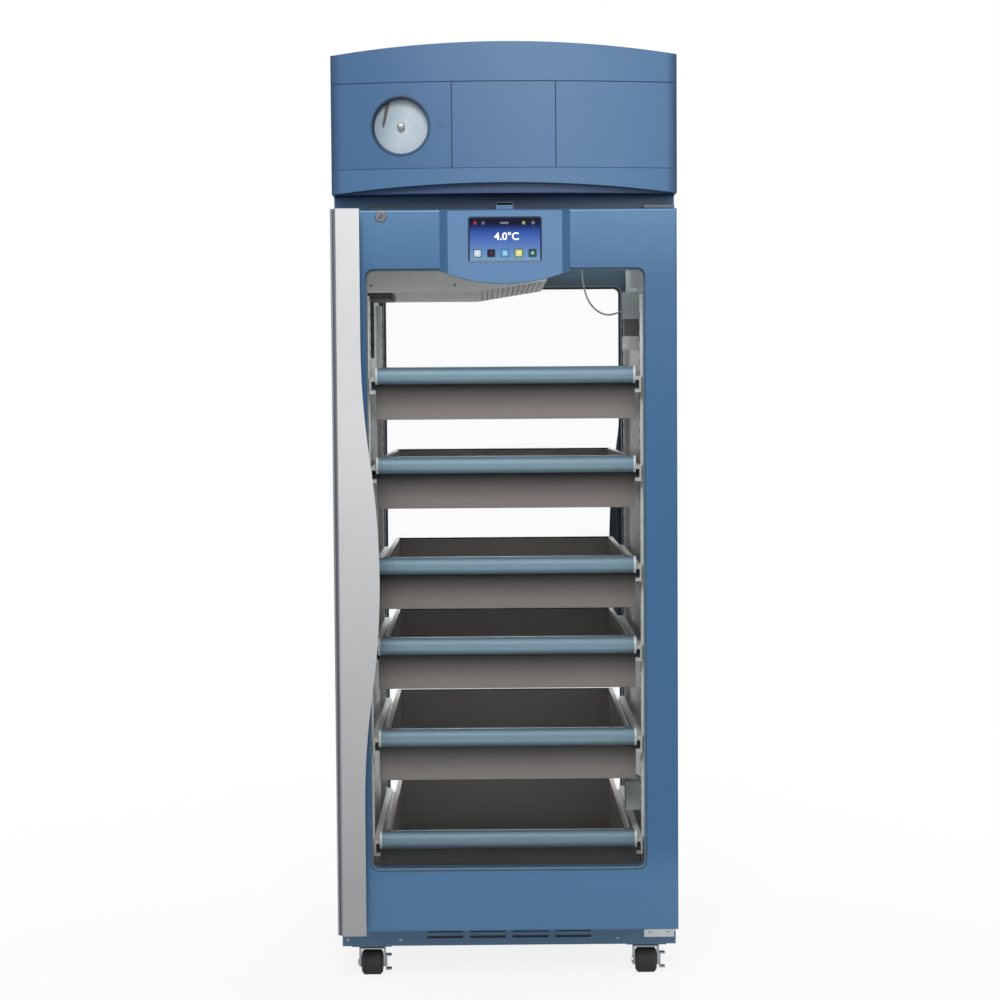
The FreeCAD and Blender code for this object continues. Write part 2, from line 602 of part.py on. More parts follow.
def make_recorder():
    x = ("0 - chart_side - recorder_width / 2", "recorder_width / 2 - chart_side")
    z = ("chart_height - recorder_height / 2", "chart_height + recorder_height / 2")
    wall = "recorder_sheet"
    tray = cut(
        block(x, ("0 - recorder_front", "0 - face"), z),
        block((f"{x[0]} + {wall}", f"{x[1]} - {wall}"), (f"{wall} - recorder_front", "1 - face"),
              (f"{z[0]} + {wall}", f"{z[1]} - {wall}")))
    spindle = rod("spindle / 2", "hub_length",
                  ("0 - chart_side", "0 - recorder_front - hub_length + 2", "chart_height"), "Y")
    pivot = ("0 - chart_side - pen_pivot_side", "chart_height + pen_pivot_rise")
    post = rod("pen_post / 2", "pen_lift + pen_sheet + fit_gap + 1",
               (pivot[0], "0 - recorder_front - pen_lift - pen_sheet - fit_gap", pivot[1]), "Y")
    node(fuse(tray, spindle, post), "recorder_plate")

    disc_front = "0 - recorder_front - fit_gap - chart_sheet"
    disc = fuse(
        rod("chart_diameter / 2", "chart_sheet", ("0 - chart_side", disc_front, "chart_height"), "Y"),
        rod("hub_diameter / 2", "hub_length + chart_sheet",
            ("0 - chart_side", f"{disc_front} - hub_length", "chart_height"), "Y"))
    bore = rod("spindle / 2 + fit_gap", "hub_length",
               ("0 - chart_side", "0 - recorder_front - hub_length + 1", "chart_height"), "Y")
    node(cut(disc, bore), "chart_disc")

    pen_front = -size("recorder_front") - size("pen_lift") - size("pen_sheet")
    px = -size("chart_side") - size("pen_pivot_side")
    pz = size("chart_height") + size("pen_pivot_rise")
    tip = V(px - size("pen_reach_side"), pen_front, pz - size("pen_reach_drop"))
    along = V(tip.x - px, 0, tip.z - pz).normalize()
    across = V(along.z, 0, -along.x) * (size("pen_width") / 2)
    root = V(px, pen_front, pz)
    arm = outline([root + across, tip + across * 0.4, tip - across * 0.4, root - across])
    arm = arm.extrude(V(0, size("pen_sheet"), 0))
    boss = Part.makeCylinder(size("pen_boss") / 2, size("pen_sheet"), root, V(0, 1, 0))
    hole = Part.makeCylinder(size("pen_post") / 2 + size("fit_gap"), size("pen_sheet"), root, V(0, 1, 0))
    node(formed("Pen", arm.fuse(boss).cut(hole).removeSplitter()), "pen_arm")


# Base frame and castors


def make_base():
    z = ("skirt_bottom", "cabinet_floor")
    wall = "base_sheet"
    frame = cut(
        block(both("half_width"), both("face"), z),
        block(both(f"half_width - {wall}"), both(f"face - {wall}"),
              ("skirt_bottom - 1", f"cabinet_floor - {wall}")))
    slots = []
    for number in range(int(size("slot_count"))):
        x = f"({number} - (slot_count - 1) / 2) * slot_pitch"
        for drop in ("slot_low_drop", "slot_high_drop"):
            height = f"cabinet_floor - {drop}"
            slots.append(block((f"{x} - slot_length / 2", f"{x} + slot_length / 2"), both("face + 1"),
                               (f"{height} - slot_height / 2", f"{height} + slot_height / 2")))
    frame = cut(frame, *slots)
    pads = []
    plates = []
    for side in (-1, 1):
        for end in (-1, 1):
            x = (f"{side} * castor_x", f"{end} * castor_y")
            inner_x = f"{side} * (half_width - {wall} / 2 - pad_size / 2)"
            inner_y = f"{end} * (face - {wall} / 2 - pad_size / 2)"
            pads.append(block((f"{inner_x} - pad_size / 2", f"{inner_x} + pad_size / 2"),
                              (f"{inner_y} - pad_size / 2", f"{inner_y} + pad_size / 2"),
                              ("skirt_bottom", "skirt_bottom + pad_sheet")))
            plate = fuse(
                block((f"{x[0]} - castor_plate / 2", f"{x[0]} + castor_plate / 2"),
                      (f"{x[1]} - castor_plate / 2", f"{x[1]} + castor_plate / 2"),
                      ("castor_plate_bottom", "skirt_bottom")),
                rod("race_diameter / 2", "castor_plate_bottom - crown_top - fit_gap",
                    (x[0], x[1], "crown_top + fit_gap")))
            bore = rod("king_pin / 2 + fit_gap", "king_pin_depth + fit_gap", (x[0], x[1], "crown_top"))
            plates.append(cut(plate, bore))
    node(group(fuse(frame, *pads), *plates), "base_frame")


def at_castor(obj, side, end, name):
    """Move a piece drawn about its own swivel to a corner. Back ones are turned to trail backwards."""
    if end > 0:
        obj.Placement.Rotation = FreeCAD.Rotation(V(0, 0, 1), 180)
    set_base(obj, f"{side} * castor_x", f"{end} * castor_y", "0")
    return node(obj, name)


def make_castors():
    axle_y = "0 - castor_trail"
    for side, side_name in ((-1, "left"), (1, "right")):
        for end, end_name in ((-1, "front"), (1, "rear")):
            corner = f"{end_name}_{side_name}"
            crown = block(both("fork_outer"), (f"{axle_y} - leg_width / 2", "race_diameter / 2"),
                          ("crown_bottom", "crown_top"))
            pin = rod("king_pin / 2", "fork_crown + king_pin_depth - fit_gap", ("0", "0", "crown_bottom"))
            parts = [crown, pin]
            for x in (("0 - fork_outer", "0 - fork_half"), ("fork_half", "fork_outer")):
                parts.append(block(x, (f"{axle_y} - leg_width / 2", f"{axle_y} + leg_width / 2"),
                                   ("wheel_radius", "crown_top")))
                parts.append(rod("leg_width / 2", "fork_sheet", (x[0], axle_y, "wheel_radius"), "X"))
            parts.append(rod("axle / 2", "2 * fork_outer + 2 * lever_sheet",
                             ("0 - fork_outer - lever_sheet", axle_y, "wheel_radius"), "X"))
            at_castor(fuse(*parts), side, end, f"{corner}_castor_fork")

            side_step = "(wheel_width - tread_width) / 2"
            small = "wheel_side_diameter / 2"
            tread = rod("wheel_radius", "tread_width", ("0 - tread_width / 2", axle_y, "wheel_radius"), "X")
            right = cone("wheel_radius", small, side_step, ("tread_width / 2", axle_y, "wheel_radius"), "X")
            left = cone(small, "wheel_radius", side_step,
                        ("0 - wheel_width / 2", axle_y, "wheel_radius"), "X")
            tyre = fuse(tread, right, left)
            bore = rod("axle / 2 + fit_gap", "wheel_width + 2",
                       ("0 - wheel_width / 2 - 1", axle_y, "wheel_radius"), "X")
            at_castor(cut(tyre, bore), side, end, f"{corner}_castor_wheel")

            if end < 0:
                spine_x = ("fork_outer + fit_gap", "fork_outer + fit_gap + lever_sheet")
                y = (f"{axle_y} - lever_width / 2", f"{axle_y} + lever_width / 2")
                low = "wheel_radius - lever_height / 2"
                high = "wheel_radius + lever_height / 2"
                pedal_x = (spine_x[0], f"{spine_x[0]} + pedal_length")
                lever = fuse(
                    block(spine_x, y, (low, high)),
                    block(pedal_x, y, (low, f"{low} + pedal_sheet")),
                    block(pedal_x, y, (f"{high} - pedal_sheet", high)))
                hole = rod("axle / 2 + fit_gap", "lever_sheet + 2",
                           (f"{spine_x[0]} - 1", axle_y, "wheel_radius"), "X")
                at_castor(cut(lever, hole), side, end, f"{corner}_brake_lever")


# Drawers: uprights, fixed rails, bins with their slide members, and grips open below for the fingers


def sided(side, near, far):
    """A span from near to far on the positive side, mirrored for the negative one."""
    return (near, far) if side > 0 else (f"0 - ({far})", f"0 - ({near})")


def drawer_floors():
    """The drawers share out the height between the chamber's floor and the upper bottle by their pitches."""
    floors = ["chamber_bottom + first_drawer"]
    for pitch in ("pitch_two", "pitch_three", "pitch_four", "pitch_five", "pitch_six"):
        floors.append(f"{floors[-1]} + drawer_stack * {pitch} / pitch_sum")
    return floors


def make_slides():
    uprights = []
    for side in (-1, 1):
        for end in (-1, 1):
            middle = f"{end} * (face - pilaster_inset)"
            y = (f"{middle} - pilaster_width / 2", f"{middle} + pilaster_width / 2")
            z = ("chamber_bottom + pilaster_foot", "cover_bottom - pilaster_head")
            channel = block(sided(side, "pilaster_face", "chamber_half"), y, z)
            hollow = block(sided(side, "pilaster_face + pilaster_wall", "chamber_half + 1"),
                           (f"{y[0]} + pilaster_wall", f"{y[1]} - pilaster_wall"),
                           (f"{z[0]} - 1", f"{z[1]} + 1"))
            uprights.append(cut(channel, hollow))
    node(group(*uprights), "slotted_uprights")

    rails = []
    for floor in drawer_floors():
        for side in (-1, 1):
            y = ("0 - rail_front", "rail_back")
            rail = block(sided(side, "rail_face", "pilaster_face"), y,
                         (f"{floor} + rail_lift", f"{floor} + rail_lift + rail_height"))
            groove = block(sided(side, "rail_face - 1", "rail_face + groove_depth"),
                           (f"{y[0]} - 1", f"{y[1]} + 1"),
                           (f"{floor} + groove_lift", f"{floor} + groove_lift + groove_height"))
            rails.append(cut(rail, groove))
    node(group(*rails), "slide_rails")


def make_drawer(number, floor):
    sheet = "bin_sheet"
    top = f"{floor} + bin_height"
    back = "bin_back"
    inside_x, inside_y = both(f"bin_wall_half - {sheet}"), (f"{sheet} - bin_front", f"{back} - {sheet}")
    body = cut(
        block(both("bin_wall_half"), ("0 - bin_front", back), (floor, top)),
        block(inside_x, inside_y, (f"{floor} + {sheet}", f"{top} + 1")))
    flange = cut(
        block(both("bin_half"), ("0 - bin_front", back), (f"{top} - {sheet}", top)),
        block(inside_x, inside_y, (f"{top} - {sheet} - 1", f"{top} + 1")))
    front = block(both("grip_half"), ("0 - bin_front", f"{sheet} - bin_front"), (floor, top))
    groove_foot = f"{floor} + groove_lift"
    members = []
    for side in (-1, 1):
        members.append(block(sided(side, "bin_wall_half", "tongue_end"), (f"{sheet} - bin_front", back),
                             (f"{groove_foot} + fit_gap", f"{groove_foot} + groove_height - fit_gap")))
    node(group(fuse(body, flange, front), *members), f"drawer_{number}_bin")

    def profile(x, y, z, inset="0"):
        """A span of the grip's rounded section, smaller by an inset."""
        roll = rod(f"grip_radius - {inset}", f"({x[1]}) - ({x[0]}) + 2",
                   (f"{x[0]} - 1", "grip_radius - grip_depth - bin_front", f"{top} - grip_height / 2"), "X")
        return common(block(x, y, z), roll)

    y = ("0 - bin_front - grip_depth", "0 - bin_front")
    z = (f"{top} - grip_height", top)
    bar_x = both("grip_half - grip_cap")
    finger_space = profile(both("grip_half - grip_cap + 1"), (y[0], f"{y[1]} + 1"),
                           (f"{z[0]} - 1", f"{z[1]} - grip_wall"), "grip_wall")
    riveted = block(bar_x, (f"{y[1]} - grip_back", y[1]), (f"{top} - grip_back_height", top))
    bar = fuse(cut(profile(bar_x, y, z), finger_space), riveted)
    left_cap = profile(("0 - grip_half", "grip_cap - grip_half"), y, z)
    right_cap = profile(("grip_half - grip_cap", "grip_half"), y, z)
    node(group(bar, left_cap, right_cap), f"drawer_{number}_grip")


# Evaporator, lights and probes


def fan_rotor(diameter, at, axis):
    """A hub with tilted flat blades about one axis, drawn at a place given in numbers."""
    width, sheet = size("fan_width"), size("fan_blade")
    hub = Part.makeCylinder(size("fan_hub") / 2, width)
    bore = Part.makeCylinder(size("shaft") / 2 + size("fit_gap"), width - 3)
    reach = size(diameter) / 2
    root = size("fan_hub") / 2 - 2
    tilt, blades = size("blade_tilt"), int(size("blade_count"))
    chord = width / sin(tilt * pi / 180) * 0.8
    rotor = hub
    for number in range(blades):
        blade = Part.makeBox(reach - root, chord, sheet, V(root, -chord / 2, -sheet / 2))
        blade.rotate(V(0, 0, 0), V(1, 0, 0), tilt)
        blade.translate(V(0, 0, width / 2))
        blade.rotate(V(0, 0, 0), V(0, 0, 1), 360 / blades * number)
        rotor = rotor.fuse(blade)
    rotor = rotor.cut(bore).removeSplitter()
    obj = formed("Rotor", rotor)
    obj.Placement = FreeCAD.Placement(V(*at), TURN[axis])
    return obj


def make_evaporator():
    left, right = size("cover_left"), size("cover_right")
    low, high = size("cover_bottom"), size("chamber_top")
    wall = size("cover_sheet")
    half_depth = size("cover_depth") / 2

    def section(inset, top):
        y = -half_depth + inset
        return outline([
            V(left + inset, y, low + inset), V(left + size("cover_flat"), y, low + inset),
            V(right - inset, y, low + size("cover_end_rise") + inset),
            V(right - inset, y, top), V(left + inset, y, top)])

    outer = section(0, high).extrude(V(0, 2 * half_depth, 0))
    inner = section(wall, high + 1).extrude(V(0, 2 * (half_depth - wall), 0))
    outlet_radius = size("evaporator_fan") / 2 + size("outlet_gap")
    outlet = Part.makeCylinder(outlet_radius, 20, V(right - 10, 0, size("fan_centre")), V(1, 0, 0))
    node(formed("Cover", outer.cut(inner).cut(outlet)), "evaporator_cover")

    x = ("cover_left + coil_inset", "cover_left + coil_inset + coil_width")
    z = ("chamber_top - coil_hang - coil_height", "chamber_top - coil_hang")
    coil = [block(x, both("coil_depth / 2"), z)]
    for at in ("coil_inset / 2", "coil_width - coil_inset / 2"):
        for end in (-1, 1):
            foot = (f"{x[0]} + {at}", f"{end} * coil_depth / 3", f"{z[1]} - 2")
            coil.append(rod("shaft / 2", "coil_hang + 2", foot))
    motor_x = "cover_right - fan_from_end - motor_length"
    bracket_x = f"{motor_x} + (motor_length - motor_bracket) / 2"
    motor = fuse(
        rod("fan_motor / 2", "motor_length", (motor_x, "0", "fan_centre"), "X"),
        rod("shaft / 2", "fan_width - 4", (f"{motor_x} + motor_length - 1", "0", "fan_centre"), "X"),
        block((bracket_x, f"{bracket_x} + motor_bracket"), both("shaft"), ("fan_centre", "chamber_top")))
    node(group(fuse(*coil), motor), "evaporator_coil")
    at = (size("cover_right") - size("fan_from_end") + size("fit_gap"), 0, size("fan_centre"))
    node(fan_rotor("evaporator_fan", at, "X"), "evaporator_fan")


def make_chamber_fittings():
    lights = []
    for end in (-1, 1):
        outer = f"{end} * (face - light_inset - light_width / 2)"
        lights.append(block(("cover_right + light_near_gap", "chamber_half - light_end_gap"),
                            (f"{outer} - light_width / 2", f"{outer} + light_width / 2"),
                            ("chamber_top - light_height", "chamber_top")))
    node(group(*lights), "chamber_lights")

    x = ("chamber_half - bottle_width", "chamber_half")
    y = ("0 - bottle_y - bottle_depth / 2", "bottle_depth / 2 - bottle_y")
    inner_y = (f"{y[0]} + bottle_face_gap", f"{y[1]} - bottle_face_gap")
    upper_top = "bottle_bottom + bottle_height"
    upper_bottle = block((f"{x[0]} + bottle_side_gap", f"{x[1]} - bottle_side_gap"), inner_y,
                         ("bottle_bottom", upper_top))
    upper_holder = block(x, y, (upper_top, f"{upper_top} + holder_height"))
    lower_top = "lower_bottle_bottom + lower_bottle_height"
    lower_bottle = block((f"{x[0]} + bottle_side_gap", f"{x[1]} - lower_bottle_gap"), inner_y,
                         ("lower_bottle_bottom", lower_top))
    lower_holder = block(x, y, (lower_top, f"{lower_top} + lower_flange"))
    node(group(upper_bottle, upper_holder, lower_bottle, lower_holder), "probe_bottles")


def tube(points, diameter, bend=None):
    """A round tube along straight runs joined by tangent arcs, with the radii of its arcs."""
    radii, edges = [], []
    here = points[0]
    for before, corner, after in zip(points, points[1:], points[2:]):
        into, out = (corner - before), (after - corner)
        turn = into.getAngle(out)
        reach = 0.45 * min(into.Length, out.Length)
        if bend:
            reach = bend * sin(turn / 2) / cos(turn / 2)
        into.normalize()
        out.normalize()
        radius = reach * cos(turn / 2) / sin(turn / 2)
        radii.append(round(radius, 1))
        start, end = corner - into * reach, corner + out * reach
        centre_way = (out - into).normalize()
        middle = corner + centre_way * (radius / cos(turn / 2) - radius)
        edges.append(Part.LineSegment(here, start).toShape())
        edges.append(Part.Arc(start, middle, end).toShape())
        here = end
    edges.append(Part.LineSegment(here, points[-1]).toShape())
    path = Part.Wire(edges)
    ring = Part.Wire(Part.makeCircle(diameter / 2, points[0], points[1] - points[0]))
    solid = path.makePipeShell([ring], True, False)
    full = pi * diameter ** 2 / 4 * path.Length
    share = solid.Volume / full
    print(f"tube {diameter} mm: length {path.Length:.1f}, radii {radii}, volume share {share:.4f}")
    return solid


def make_lead():
    """The probe's lead hangs in one loop from the ceiling to the upper bottle's holder."""
    end = V(size("chamber_half") - size("bottle_width"), -size("bottle_y"), size("chamber_top"))
    route = [end + V(*step) for step in LEAD_STEPS]
    node(formed("Lead", tube(route, size("lead_diameter"))), "probe_lead")


def make_machinery():
    """Compressor, condenser with its fan and shroud, pipes and control box, all on the cabinet's roof."""
    at = ("compressor_side", "compressor_back")
    feet = []
    for x in (-1, 1):
        for y in (-1, 1):
            foot = (f"{at[0]} + {x} * foot_span / 2", f"{at[1]} + {y} * foot_span / 3", "cabinet_roof")
            feet.append(rod("foot_diameter / 2", "foot_height", foot))
    half_x, half_y = "(foot_span + foot_diameter) / 2", "(foot_span / 3 + foot_diameter / 2)"
    shell_foot = "cabinet_roof + foot_height + foot_plate"
    plate = block((f"{at[0]} - {half_x}", f"{at[0]} + {half_x}"),
                  (f"{at[1]} - {half_y}", f"{at[1]} + {half_y}"), ("cabinet_roof + foot_height", shell_foot))
    can = rod("compressor_diameter / 2", "compressor_height", (at[0], at[1], shell_foot))
    dome = cone("compressor_diameter / 2", "compressor_diameter / 4", "compressor_dome",
                (at[0], at[1], f"{shell_foot} + compressor_height"))
    node(group(*feet, fuse(plate, can, dome)), "compressor")

    left = "0 - condenser_side - condenser_width / 2"
    y = ("condenser_back - condenser_depth / 2", "condenser_back + condenser_depth / 2")
    z = ("cabinet_roof", "cabinet_roof + condenser_height")
    leaves = [block((left, f"{left} + end_plate"), y, z),
              block((f"{left} + condenser_width - end_plate", f"{left} + condenser_width"), y, z)]
    count = int(size("condenser_fins"))
    for number in range(1, count + 1):
        x = f"{left} + condenser_width * {number} / {count + 1}"
        leaves.append(block((x, f"{x} + fin_sheet"), y, (f"{z[0]} + fin_gap", f"{z[1]} - fin_gap")))
    for row in range(int(size("condenser_passes"))):
        height = f"cabinet_roof + condenser_height * {row + 0.5} / condenser_passes"
        leaves.append(rod("pipe_diameter / 2", "condenser_width", (left, "condenser_back", height), "X"))
    fan_z = "cabinet_roof + condenser_height / 2"
    shroud_y = (f"{y[0]} - shroud_depth", y[0])
    mouth = rod("condenser_fan / 2 + fan_clearance", "shroud_depth + 2",
                ("0 - condenser_side", f"{shroud_y[0]} - 1", fan_z), "Y")
    shroud = cut(block((left, f"{left} + condenser_width"), shroud_y, z), mouth)
    motor_y = f"{shroud_y[0]} - motor_length"
    motor = fuse(
        rod("fan_motor / 2", "motor_length", ("0 - condenser_side", motor_y, fan_z), "Y"),
        rod("shaft / 2", "fan_width - 4", ("0 - condenser_side", f"{shroud_y[0]} - 1", fan_z), "Y"),
        block(("0 - condenser_side - shaft", "shaft - condenser_side"), (motor_y, f"{motor_y} + shaft"),
              ("cabinet_roof", fan_z)))
    node(group(fuse(*leaves), shroud, motor), "condenser")
    fan_y = size("condenser_back") - size("condenser_depth") / 2 - size("shroud_depth") + size("fit_gap")
    centre = (-size("condenser_side"), fan_y, size("cabinet_roof") + size("condenser_height") / 2)
    node(fan_rotor("condenser_fan", centre, "Y"), "condenser_fan")

    roof = size("cabinet_roof")
    bore, bend = size("pipe_diameter"), size("pipe_bend")
    coil_top = size("chamber_top") - size("coil_hang")
    back, far = size("pipe_back"), size("condenser_back")
    end_x = -size("condenser_side") + size("condenser_width") / 2
    can_x = size("compressor_side") - size("compressor_diameter") / 2
    suction_x, suction_z = -size("suction_side"), roof + size("suction_rise")
    suction = tube([V(suction_x, back, coil_top), V(suction_x, back, suction_z), V(can_x, back, suction_z)],
                   bore, bend)
    liquid_x, liquid_z = -size("liquid_side"), roof + size("liquid_rise")
    turn_x = end_x + size("liquid_side_step")
    liquid = tube([V(end_x, far, liquid_z), V(turn_x, far, liquid_z), V(turn_x, back, liquid_z),
                   V(liquid_x, back, liquid_z), V(liquid_x, back, coil_top)], bore, bend)
    discharge_y, discharge_z = back + size("discharge_back_step"), roof + size("discharge_rise")
    step_x = can_x - size("discharge_side_step")
    discharge = tube([V(can_x, discharge_y, discharge_z), V(step_x, discharge_y, discharge_z),
                      V(step_x, far, discharge_z), V(end_x, far, discharge_z)], bore, bend)
    node(formed("Pipes", Part.makeCompound([suction, liquid, discharge])), "refrigerant_pipes")

    x = ("half_width - shell_sheet - control_width", "half_width - shell_sheet")
    y = ("control_front - face", "control_front + control_depth - face")
    z = ("cabinet_roof", "cabinet_roof + control_height")
    wall = "control_sheet"
    box = cut(
        block(x, y, z),
        block((f"{x[0]} + {wall}", f"{x[1]} - {wall}"), (f"{y[0]} + {wall}", f"{y[1]} - {wall}"),
              (f"{z[0]} + {wall}", f"{z[1]} - {wall}")),
        inlet_block((f"{x[1]} - {wall} - 1", f"{x[1]} + 1"), "0"))
    inlet = inlet_block(("half_width - inlet_depth", "half_width"), "0")
    node(group(box, inlet), "control_box")


def check(node_list):
    """Stop if a step failed or a sub-part isn't a set of valid solids."""
    for obj in doc.Objects:
        if "Invalid" in obj.State or "Error" in obj.State:
            raise SystemExit(f"{obj.Label} ({obj.TypeId}) failed: {obj.State}")
    for obj in node_list:
        shape = obj.Shape
        if shape.isNull() or not shape.isValid() or not shape.Solids:
            raise SystemExit(f"{obj.Label} has no valid solid")


def main():
    make_cabinet()
    make_doors()
    make_header()
    make_recorder()
    make_base()
    make_castors()
    make_slides()
    for number, floor in enumerate(drawer_floors(), start=1):
        make_drawer(number, floor)
    make_evaporator()
    make_chamber_fittings()
    make_lead()
    make_machinery()
    doc.recompute()
    check(nodes)
    os.makedirs("parts", exist_ok=True)
    for obj in nodes:
        obj.Shape.exportStep(f"parts/{obj.Label}.step")
    print(len(nodes), "sub-parts")


main()
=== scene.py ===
# %% [markdown]
# # A blood bank refrigerator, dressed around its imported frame
# The frame holds every solid of the refrigerator at its real size, in metres. This notebook
# leaves those solids where they are, gives each a finish worked out by nodes, and adds the small
# pieces that make it look made: rims, screws, seams, slots, the chart and the screen's picture.
# Only the recorder's pen and the probe's lead are drawn again, in a finer shape.

# %% Load the frame
import bmesh
import bpy
import json
from math import asin, cos, pi, radians, sin, sqrt
from mathutils import Matrix, Vector


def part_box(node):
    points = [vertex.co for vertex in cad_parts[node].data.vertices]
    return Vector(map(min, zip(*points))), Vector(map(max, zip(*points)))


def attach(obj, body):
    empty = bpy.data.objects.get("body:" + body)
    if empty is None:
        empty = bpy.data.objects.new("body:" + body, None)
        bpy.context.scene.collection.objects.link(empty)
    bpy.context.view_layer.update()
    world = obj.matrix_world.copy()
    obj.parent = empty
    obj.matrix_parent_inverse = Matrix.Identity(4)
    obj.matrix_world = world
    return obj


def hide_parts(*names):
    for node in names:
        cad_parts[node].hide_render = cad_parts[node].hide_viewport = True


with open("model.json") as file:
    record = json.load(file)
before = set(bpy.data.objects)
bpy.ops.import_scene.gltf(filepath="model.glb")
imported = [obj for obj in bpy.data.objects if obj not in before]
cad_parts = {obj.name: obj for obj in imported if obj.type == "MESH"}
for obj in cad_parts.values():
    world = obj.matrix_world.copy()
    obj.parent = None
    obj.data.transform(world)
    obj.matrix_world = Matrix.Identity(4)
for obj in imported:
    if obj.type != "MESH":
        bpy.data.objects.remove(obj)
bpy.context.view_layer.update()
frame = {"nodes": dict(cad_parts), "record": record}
NODES = frame["nodes"]


def add_object(name, data):
    """A new object at the origin, linked into the scene."""
    made = bpy.data.objects.new(name, data)
    bpy.context.scene.collection.objects.link(made)
    return made


def take_mesh(helper):
    """The evaluated mesh of a helper object, which is removed."""
    mesh = bpy.data.meshes.new_from_object(helper.evaluated_get(bpy.context.evaluated_depsgraph_get()))
    bpy.data.objects.remove(helper)
    return mesh


# %% [markdown]
# ## The view
# The photograph was taken from a little above the cabinet's middle, about 4.7 m away and a hair
# left of centre. A camera fitted to the edges of the doors, drawers and header gives the numbers
# below; its small roll is kept so that the render can be laid over the photograph.

# %% Camera
FOCAL_PIXELS, FRAME_PIXELS, SENSOR = 2001.5, 1000, 36
CAMERA_PLACE = Vector((-0.0424, -4.713, 1.2886))
PITCH_DOWN, YAW_RIGHT, ROLL = radians(3.049), radians(0.377), radians(-0.405)


def make_camera():
    forward = Vector((sin(YAW_RIGHT) * cos(PITCH_DOWN), cos(YAW_RIGHT) * cos(PITCH_DOWN), -sin(PITCH_DOWN)))
    level = Vector((cos(YAW_RIGHT), -sin(YAW_RIGHT), 0))
    upright = level.cross(forward)
    right = level * cos(ROLL) + upright * sin(ROLL)
    up = upright * cos(ROLL) - level * sin(ROLL)
    data = bpy.data.cameras.new("photo_camera")
    data.sensor_width = SENSOR
    data.lens = FOCAL_PIXELS / FRAME_PIXELS * SENSOR
    data.clip_end = 60
    camera = add_object("photo_camera", data)
    turn = Matrix((right, up, -forward)).transposed().to_4x4()
    camera.matrix_world = Matrix.Translation(CAMERA_PLACE) @ turn
    bpy.context.scene.camera = camera
    print(f"camera: {data.lens:.1f} mm lens")


make_camera()

# %% [markdown]
# ## Writing finishes as formulas
# A finish is a small network of nodes. Writing it as arithmetic keeps it readable: `Wire` holds
# one socket, and adding or multiplying it adds the Math node. Every other node comes from
# `Network.node`, which sets the node up first and then fills or links its sockets.

# %% Shader helpers
FINISHES = {}


class Wire:
    """One output socket of a network of nodes."""

    def __init__(self, network, socket):
        self.network = network
        self.socket = socket

    def math(self, operation, *others):
        return self.network.node("ShaderNodeMath", {"operation": operation}, (self, *others))

    def __add__(self, other):
        return self.math("ADD", other)

    def __sub__(self, other):
        return self.math("SUBTRACT", other)

    def __mul__(self, other):
        return self.math("MULTIPLY", other)

    def __truediv__(self, other):
        return self.math("DIVIDE", other)

    def __rsub__(self, other):
        return self.network.node("ShaderNodeMath", {"operation": "SUBTRACT"}, (other, self))

    __radd__ = __add__
    __rmul__ = __mul__

    def clamped(self):
        return self.math("MINIMUM", 1).math("MAXIMUM", 0)

    def above(self, limit, soft=0.0005):
        """0 under a limit and 1 over it, with a soft step."""
        return ((self - limit) / soft + 0.5).clamped()

    def under(self, limit, soft=0.0005):
        return 1 - self.above(limit, soft)

    def size(self):
        return self.math("ABSOLUTE")

    def reach(self, other):
        """How far a point lies from a middle, from its two offsets."""
        return (self * self + other * other).math("SQRT")


# %% Networks of nodes
class Network:
    """Nodes written as formulas, in a material, a world or a Geometry Nodes tree."""

    def __init__(self, tree):
        self.tree = tree

    def node(self, kind, settings=None, inputs=(), output=0):
        made = self.tree.nodes.new(kind)
        for key, value in (settings or {}).items():
            if key == "stops":
                ramp = made.color_ramp
                while len(ramp.elements) < len(value):
                    ramp.elements.new(0.5)
                for element, (place, colour) in zip(ramp.elements, value):
                    element.position = place
                    element.color = (*colour, 1)
            else:
                setattr(made, key, value)
        pairs = inputs.items() if isinstance(inputs, dict) else enumerate(inputs)
        for key, value in pairs:
            socket = made.inputs[key]
            wires = value if isinstance(value, list) else [value]
            if isinstance(wires[0], Wire):
                for wire in wires:
                    self.tree.links.new(wire.socket, socket)
            elif hasattr(socket.default_value, "__len__") and len(socket.default_value) > len(value):
                socket.default_value = (*value, 1)
            else:
                socket.default_value = value
        return Wire(self, made.outputs[output])

    def wires(self, kind, outputs, inputs=()):
        """Several output sockets of one new node."""
        made = self.node(kind, {}, inputs).socket.node
        return [Wire(self, made.outputs[output]) for output in outputs]

    def split(self, vector):
        return self.wires("ShaderNodeSeparateXYZ", range(3), (vector,))


